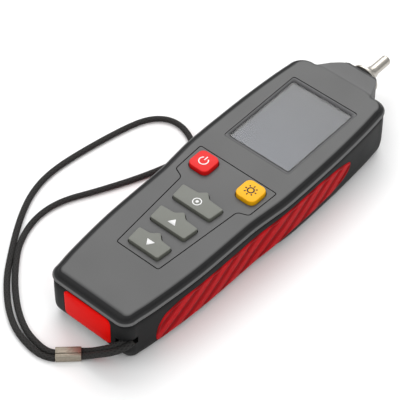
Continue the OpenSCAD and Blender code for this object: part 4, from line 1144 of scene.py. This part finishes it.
def dressed(colours):
    """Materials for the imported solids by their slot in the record."""
    board = moulded("board_lacquer", (0.03, 0.2, 0.08), rough=0.35, grain=2600, wear=0.1,
                    Coat_Weight=0.5, Coat_Roughness=0.15)
    brass = metal("contact_brass", (0.75, 0.56, 0.25), rough=0.25, lines=900)
    steel = metal("screw_metal", (0.6, 0.61, 0.63), rough=0.28, lines=2600)
    display, t, shader = plain_material("display_back", Roughness=0.4, Specular_IOR_Level=0.1)
    g = group_node(t, "grain", Scale=300.0, Mottle_scale=12.0)
    low = shaded(t, g, colours.display, 1.45, 1.55)
    high = shaded(t, g, colours.display, 0.42, 0.46)
    # Painted light: paler towards the lower edge
    painted_light_fade = between(t, object_axes(t)["Y"], 0.008, 0.058, 0, 1)
    t.links.new(mixed_colour(t, painted_light_fade, low, high), shader.inputs["Base Color"])
    tin = metal("can_metal", (0.68, 0.69, 0.71), rough=0.24, lines=3200)
    return {
        "case_dark": moulded("door_plastic", colours.shell[:], 0.5, depth=0.00003),
        "board_green": board, "contact_brass": brass, "screw_steel": steel,
        "can_aluminium": tin, "probe_steel": steel, "ferrule_metal": tin,
        "gasket_black": moulded("gasket_foam", (0.02, 0.02, 0.02), 0.8, grain=6000),
        "display_glass": display,
        "holder_white": moulded("holder_plastic", (0.75, 0.74, 0.7), 0.5),
        "ribbon_amber": moulded("ribbon_film", (0.55, 0.27, 0.05), 0.35, Coat_Weight=0.5),
        "chip_black": moulded("chip_epoxy", (0.02, 0.02, 0.022), 0.45),
        "mat_rubber": moulded("keypad_rubber", (0.12, 0.12, 0.13), 0.65),
        "battery_jacket": moulded("battery_sleeve", (0.04, 0.05, 0.2), 0.35, Coat_Weight=0.4),
        "lead_sheath": moulded("lead_pvc", (0.03, 0.03, 0.03), 0.4, grain=5000),
        "piezo_ceramic": moulded("piezo_body", (0.6, 0.57, 0.5), 0.6),
        "strap_fabric": moulded("strap_core", (0.02, 0.02, 0.02), 0.8),
    }


def dress_solids(colours):
    """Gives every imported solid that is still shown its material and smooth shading."""
    by_slot = dressed(colours)
    slots = {s["node"]: s["material_slot"] for s in frame["record"]["subparts"]}
    for name, obj in frame["nodes"].items():
        if obj.hide_render:
            continue
        obj.data.materials.clear()
        obj.data.materials.append(by_slot[slots[name]])
        obj.modifiers.new("weld", "WELD").merge_threshold = 1e-6
        mod = obj.modifiers.new("smooth", "EDGE_SPLIT")
        mod.split_angle = math.radians(32)
        obj.data.polygons.foreach_set("use_smooth", np.ones(len(obj.data.polygons), bool))
        obj.data.update()


# Room

def area_light(name, at, target, size, power):
    """A rectangular soft box at a place, turned to its target."""
    data = bpy.data.lights.new(name, "AREA")
    data.shape, data.size, data.size_y, data.energy = "RECTANGLE", size[0], size[1], power
    obj = linked(name, data)
    obj.location = at
    obj.rotation_euler = (Vector(target) - Vector(at)).to_track_quat("-Z", "Y").to_euler()
    return obj


def build_stage(sizes, colours):
    """White table, white background for the camera, soft boxes and the photo's camera."""
    half = 2.2
    mesh = bpy.data.meshes.new("table")
    mesh.from_pydata([(-half, -half, 0), (half, -half, 0), (half, half, 0), (-half, half, 0)], [],
                     [(0, 1, 2, 3)])
    table = linked("table", mesh)
    m, t, shader = plain_material("table_paper", Roughness=0.9)
    g = group_node(t, "grain", Scale=300.0, Mottle_scale=3.0)
    t.links.new(mixed_colour(t, g.outputs["Mottle"], (0.93, 0.93, 0.93), (0.96, 0.96, 0.96)),
                shader.inputs["Base Color"])
    mesh.materials.append(m)
    world = bpy.data.worlds.new("room")
    world.use_nodes = True
    bpy.context.scene.world = world
    nodes, links = world.node_tree.nodes, world.node_tree.links
    light = nodes["Background"]
    # Paler overhead than near the horizon
    sky, up = nodes.new("ShaderNodeTexCoord"), nodes.new("ShaderNodeSeparateXYZ")
    links.new(sky.outputs["Generated"], up.inputs[0])
    shade = between(world.node_tree, up.outputs["Z"], 0.0, 0.9, 0.35 * sizes.fill, sizes.fill)
    links.new(shade, light.inputs["Strength"])
    light.inputs["Color"].default_value = (1, 1, 1, 1)
    white = nodes.new("ShaderNodeBackground")
    white.inputs["Strength"].default_value = 1.0
    white.inputs["Color"].default_value = (1, 1, 1, 1)
    mix, path = nodes.new("ShaderNodeMixShader"), nodes.new("ShaderNodeLightPath")
    seen = math_node(world.node_tree, "MAXIMUM", path.outputs["Is Camera Ray"],
                     path.outputs["Is Transmission Ray"])
    links.new(seen, mix.inputs[0])
    links.new(light.outputs[0], mix.inputs[1])
    links.new(white.outputs[0], mix.inputs[2])
    links.new(mix.outputs[0], nodes["World Output"].inputs["Surface"])
    key = area_light("key_box", (-0.56, 0.74, 1.0), (0, 0, 0), (1.4, 1.0), sizes.key)
    side = area_light("side_box", (0.9, -0.1, 0.7), (0, 0, 0.02), (0.7, 1.2), sizes.side)
    front = area_light("front_box", (-0.3, -0.9, 0.8), (0, 0, 0), (0.8, 0.5), sizes.front)
    data = bpy.data.cameras.new("photo_camera")
    data.lens, data.sensor_width = 168.2, 36.0
    camera = linked("photo_camera", data)
    camera.location = (0.38774, -0.47698, 0.68415)
    aim = Vector((-0.0008, -0.0331, 0.029)) - camera.location
    camera.rotation_euler = aim.to_track_quat("-Z", "Y").to_euler()
    bpy.context.scene.camera = camera
    bpy.context.scene.view_settings.view_transform = "Standard"


# Add-on

def length_property(name, about, default):
    """A length in metres for the sizes."""
    return FloatProperty(name=name, description=about, default=default, unit="LENGTH",
                         subtype="DISTANCE", precision=5)


def colour_property(name, about, default):
    """A linear colour."""
    return FloatVectorProperty(name=name, description=about, default=default, subtype="COLOR",
                               size=3, min=0, max=1)


class MeterSizes(bpy.types.PropertyGroup):
    """Sizes that may be changed before the pieces are built."""
    rib_lean: FloatProperty(name="Rib lean", description="Angle of the grip's grooves from the"
                            " meter's length", default=36.0, min=10, max=80)
    rib_pitch: length_property("Rib pitch", "From one groove to the next", 0.01285)
    rib_depth: length_property("Rib depth", "Depth of each groove", 0.0006)
    fill: FloatProperty(name="Fill", description="Strength of the room's light", default=0.75)
    key: FloatProperty(name="Key box", description="Power of the upper box", default=14.0,
                       unit="POWER")
    side: FloatProperty(name="Side box", description="Power of the right box", default=3.2,
                        unit="POWER")
    front: FloatProperty(name="Front box", description="Power of the low box", default=3.0,
                         unit="POWER")


class MeterColours(bpy.types.PropertyGroup):
    """Base colours of the meter, linear; the groove's colour is painted shade."""
    face: colour_property("Face", "Raised grey face", (0.06, 0.06, 0.06))
    ridge: colour_property("Ridge", "Rounded edge round the face", (0.1, 0.1, 0.1))
    # Painted shade: the groove's colour stands for the shade in the step, on plastic the same as
    # the face's
    groove: colour_property("Groove", "Step between face and ridge", (0.006, 0.006, 0.0065))
    shell: colour_property("Shell", "Dark rear shell", (0.007, 0.0072, 0.0075))
    grip: colour_property("Grip", "Side grips", (0.46, 0.003, 0.007))
    plate: colour_property("End plate", "Plate at the battery end", (0.8, 0.005, 0.003))
    frame: colour_property("Frame", "Window border", (0.035, 0.035, 0.037))
    display: colour_property("Display", "Display as seen through its window",
                             (0.05, 0.056, 0.07))
    power: colour_property("Power key", "Round key at the left", (0.7, 0.008, 0.008))
    lamp: colour_property("Lamp key", "Round key at the right", (0.86, 0.42, 0.004))
    keys: colour_property("Grey keys", "The three long keys", (0.135, 0.14, 0.12))
    steel: colour_property("Steel", "Cone and pin", (0.5, 0.475, 0.43))
    ferrule: colour_property("Ferrule", "Clamp of the strap", (0.37, 0.33, 0.27))
    strap: colour_property("Strap", "Braid", (0.013, 0.0125, 0.012))
    print_white: colour_property("Light print", "Signs on red and grey", (0.85, 0.85, 0.85))
    print_dark: colour_property("Dark print", "Sign on yellow", (0.015, 0.01, 0.006))


class PieceOperator:
    """Shared way in which every operator builds its piece."""
    bl_options = {"REGISTER", "UNDO"}

    def execute(self, context):
        scene = context.scene
        type(self).build(scene.meter_sizes, scene.meter_colours)
        return {"FINISHED"}


class METER_OT_front(PieceOperator, bpy.types.Operator):
    """Build the grey face shell"""
    bl_idname, bl_label = "meter.front", "Face shell"
    build = staticmethod(build_front)


class METER_OT_rear(PieceOperator, bpy.types.Operator):
    """Build the dark rear shell"""
    bl_idname, bl_label = "meter.rear", "Rear shell"
    build = staticmethod(build_rear)


class METER_OT_grips(PieceOperator, bpy.types.Operator):
    """Build both red side grips"""
    bl_idname, bl_label = "meter.grips", "Side grips"
    build = staticmethod(build_grips)


class METER_OT_end_plate(PieceOperator, bpy.types.Operator):
    """Build the red end plate"""
    bl_idname, bl_label = "meter.end_plate", "End plate"
    build = staticmethod(build_end_plate)


class METER_OT_window(PieceOperator, bpy.types.Operator):
    """Build the window border and its clear lens"""
    bl_idname, bl_label = "meter.window", "Window"
    build = staticmethod(build_window)


class METER_OT_round_keys(PieceOperator, bpy.types.Operator):
    """Build the red and the yellow key"""
    bl_idname, bl_label = "meter.round_keys", "Round keys"
    build = staticmethod(build_round_keys)


class METER_OT_grey_keys(PieceOperator, bpy.types.Operator):
    """Build the three grey keys"""
    bl_idname, bl_label = "meter.grey_keys", "Grey keys"
    build = staticmethod(build_grey_keys)


class METER_OT_prints(PieceOperator, bpy.types.Operator):
    """Lay the generic signs on the keys"""
    bl_idname, bl_label = "meter.prints", "Key signs"
    build = staticmethod(build_prints)


class METER_OT_probe(PieceOperator, bpy.types.Operator):
    """Build the bush, the cone and the measuring pin"""
    bl_idname, bl_label = "meter.probe", "Probe"
    build = staticmethod(build_probe)


class METER_OT_strap(PieceOperator, bpy.types.Operator):
    """Build the wrist strap"""
    bl_idname, bl_label = "meter.strap", "Wrist strap"
    build = staticmethod(build_strap)


class METER_OT_solids(PieceOperator, bpy.types.Operator):
    """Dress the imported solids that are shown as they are"""
    bl_idname, bl_label = "meter.solids", "Inner parts"
    build = staticmethod(lambda sizes, colours: dress_solids(colours))


class METER_OT_stage(PieceOperator, bpy.types.Operator):
    """Build the table, the lights and the camera"""
    bl_idname, bl_label = "meter.stage", "Stage"
    build = staticmethod(build_stage)


STEPS = (METER_OT_front, METER_OT_rear, METER_OT_grips, METER_OT_end_plate, METER_OT_window,
         METER_OT_round_keys, METER_OT_grey_keys, METER_OT_prints, METER_OT_probe,
         METER_OT_strap, METER_OT_solids, METER_OT_stage)


class METER_PT_panel(bpy.types.Panel):
    """Sidebar panel with the sizes, colours and one button a piece"""
    bl_idname, bl_label = "METER_PT_panel", "Vibration meter"
    bl_space_type, bl_region_type, bl_category = "VIEW_3D", "UI", "Meter"

    def draw(self, context):
        for group in (context.scene.meter_sizes, context.scene.meter_colours):
            column = self.layout.column()
            for key in type(group).__annotations__:
                column.prop(group, key)
        for step in STEPS:
            self.layout.operator(step.bl_idname)


CLASSES = (MeterSizes, MeterColours, *STEPS, METER_PT_panel)


def register():
    for c in CLASSES:
        bpy.utils.register_class(c)
    bpy.types.Scene.meter_sizes = PointerProperty(type=MeterSizes)
    bpy.types.Scene.meter_colours = PointerProperty(type=MeterColours)


def unregister():
    del bpy.types.Scene.meter_colours
    del bpy.types.Scene.meter_sizes
    for c in reversed(CLASSES):
        bpy.utils.unregister_class(c)


def main():
    register()
    for step in STEPS:
        group, call = step.bl_idname.split(".")
        getattr(getattr(bpy.ops, group), call)()


if __name__ == "__main__":
    main()
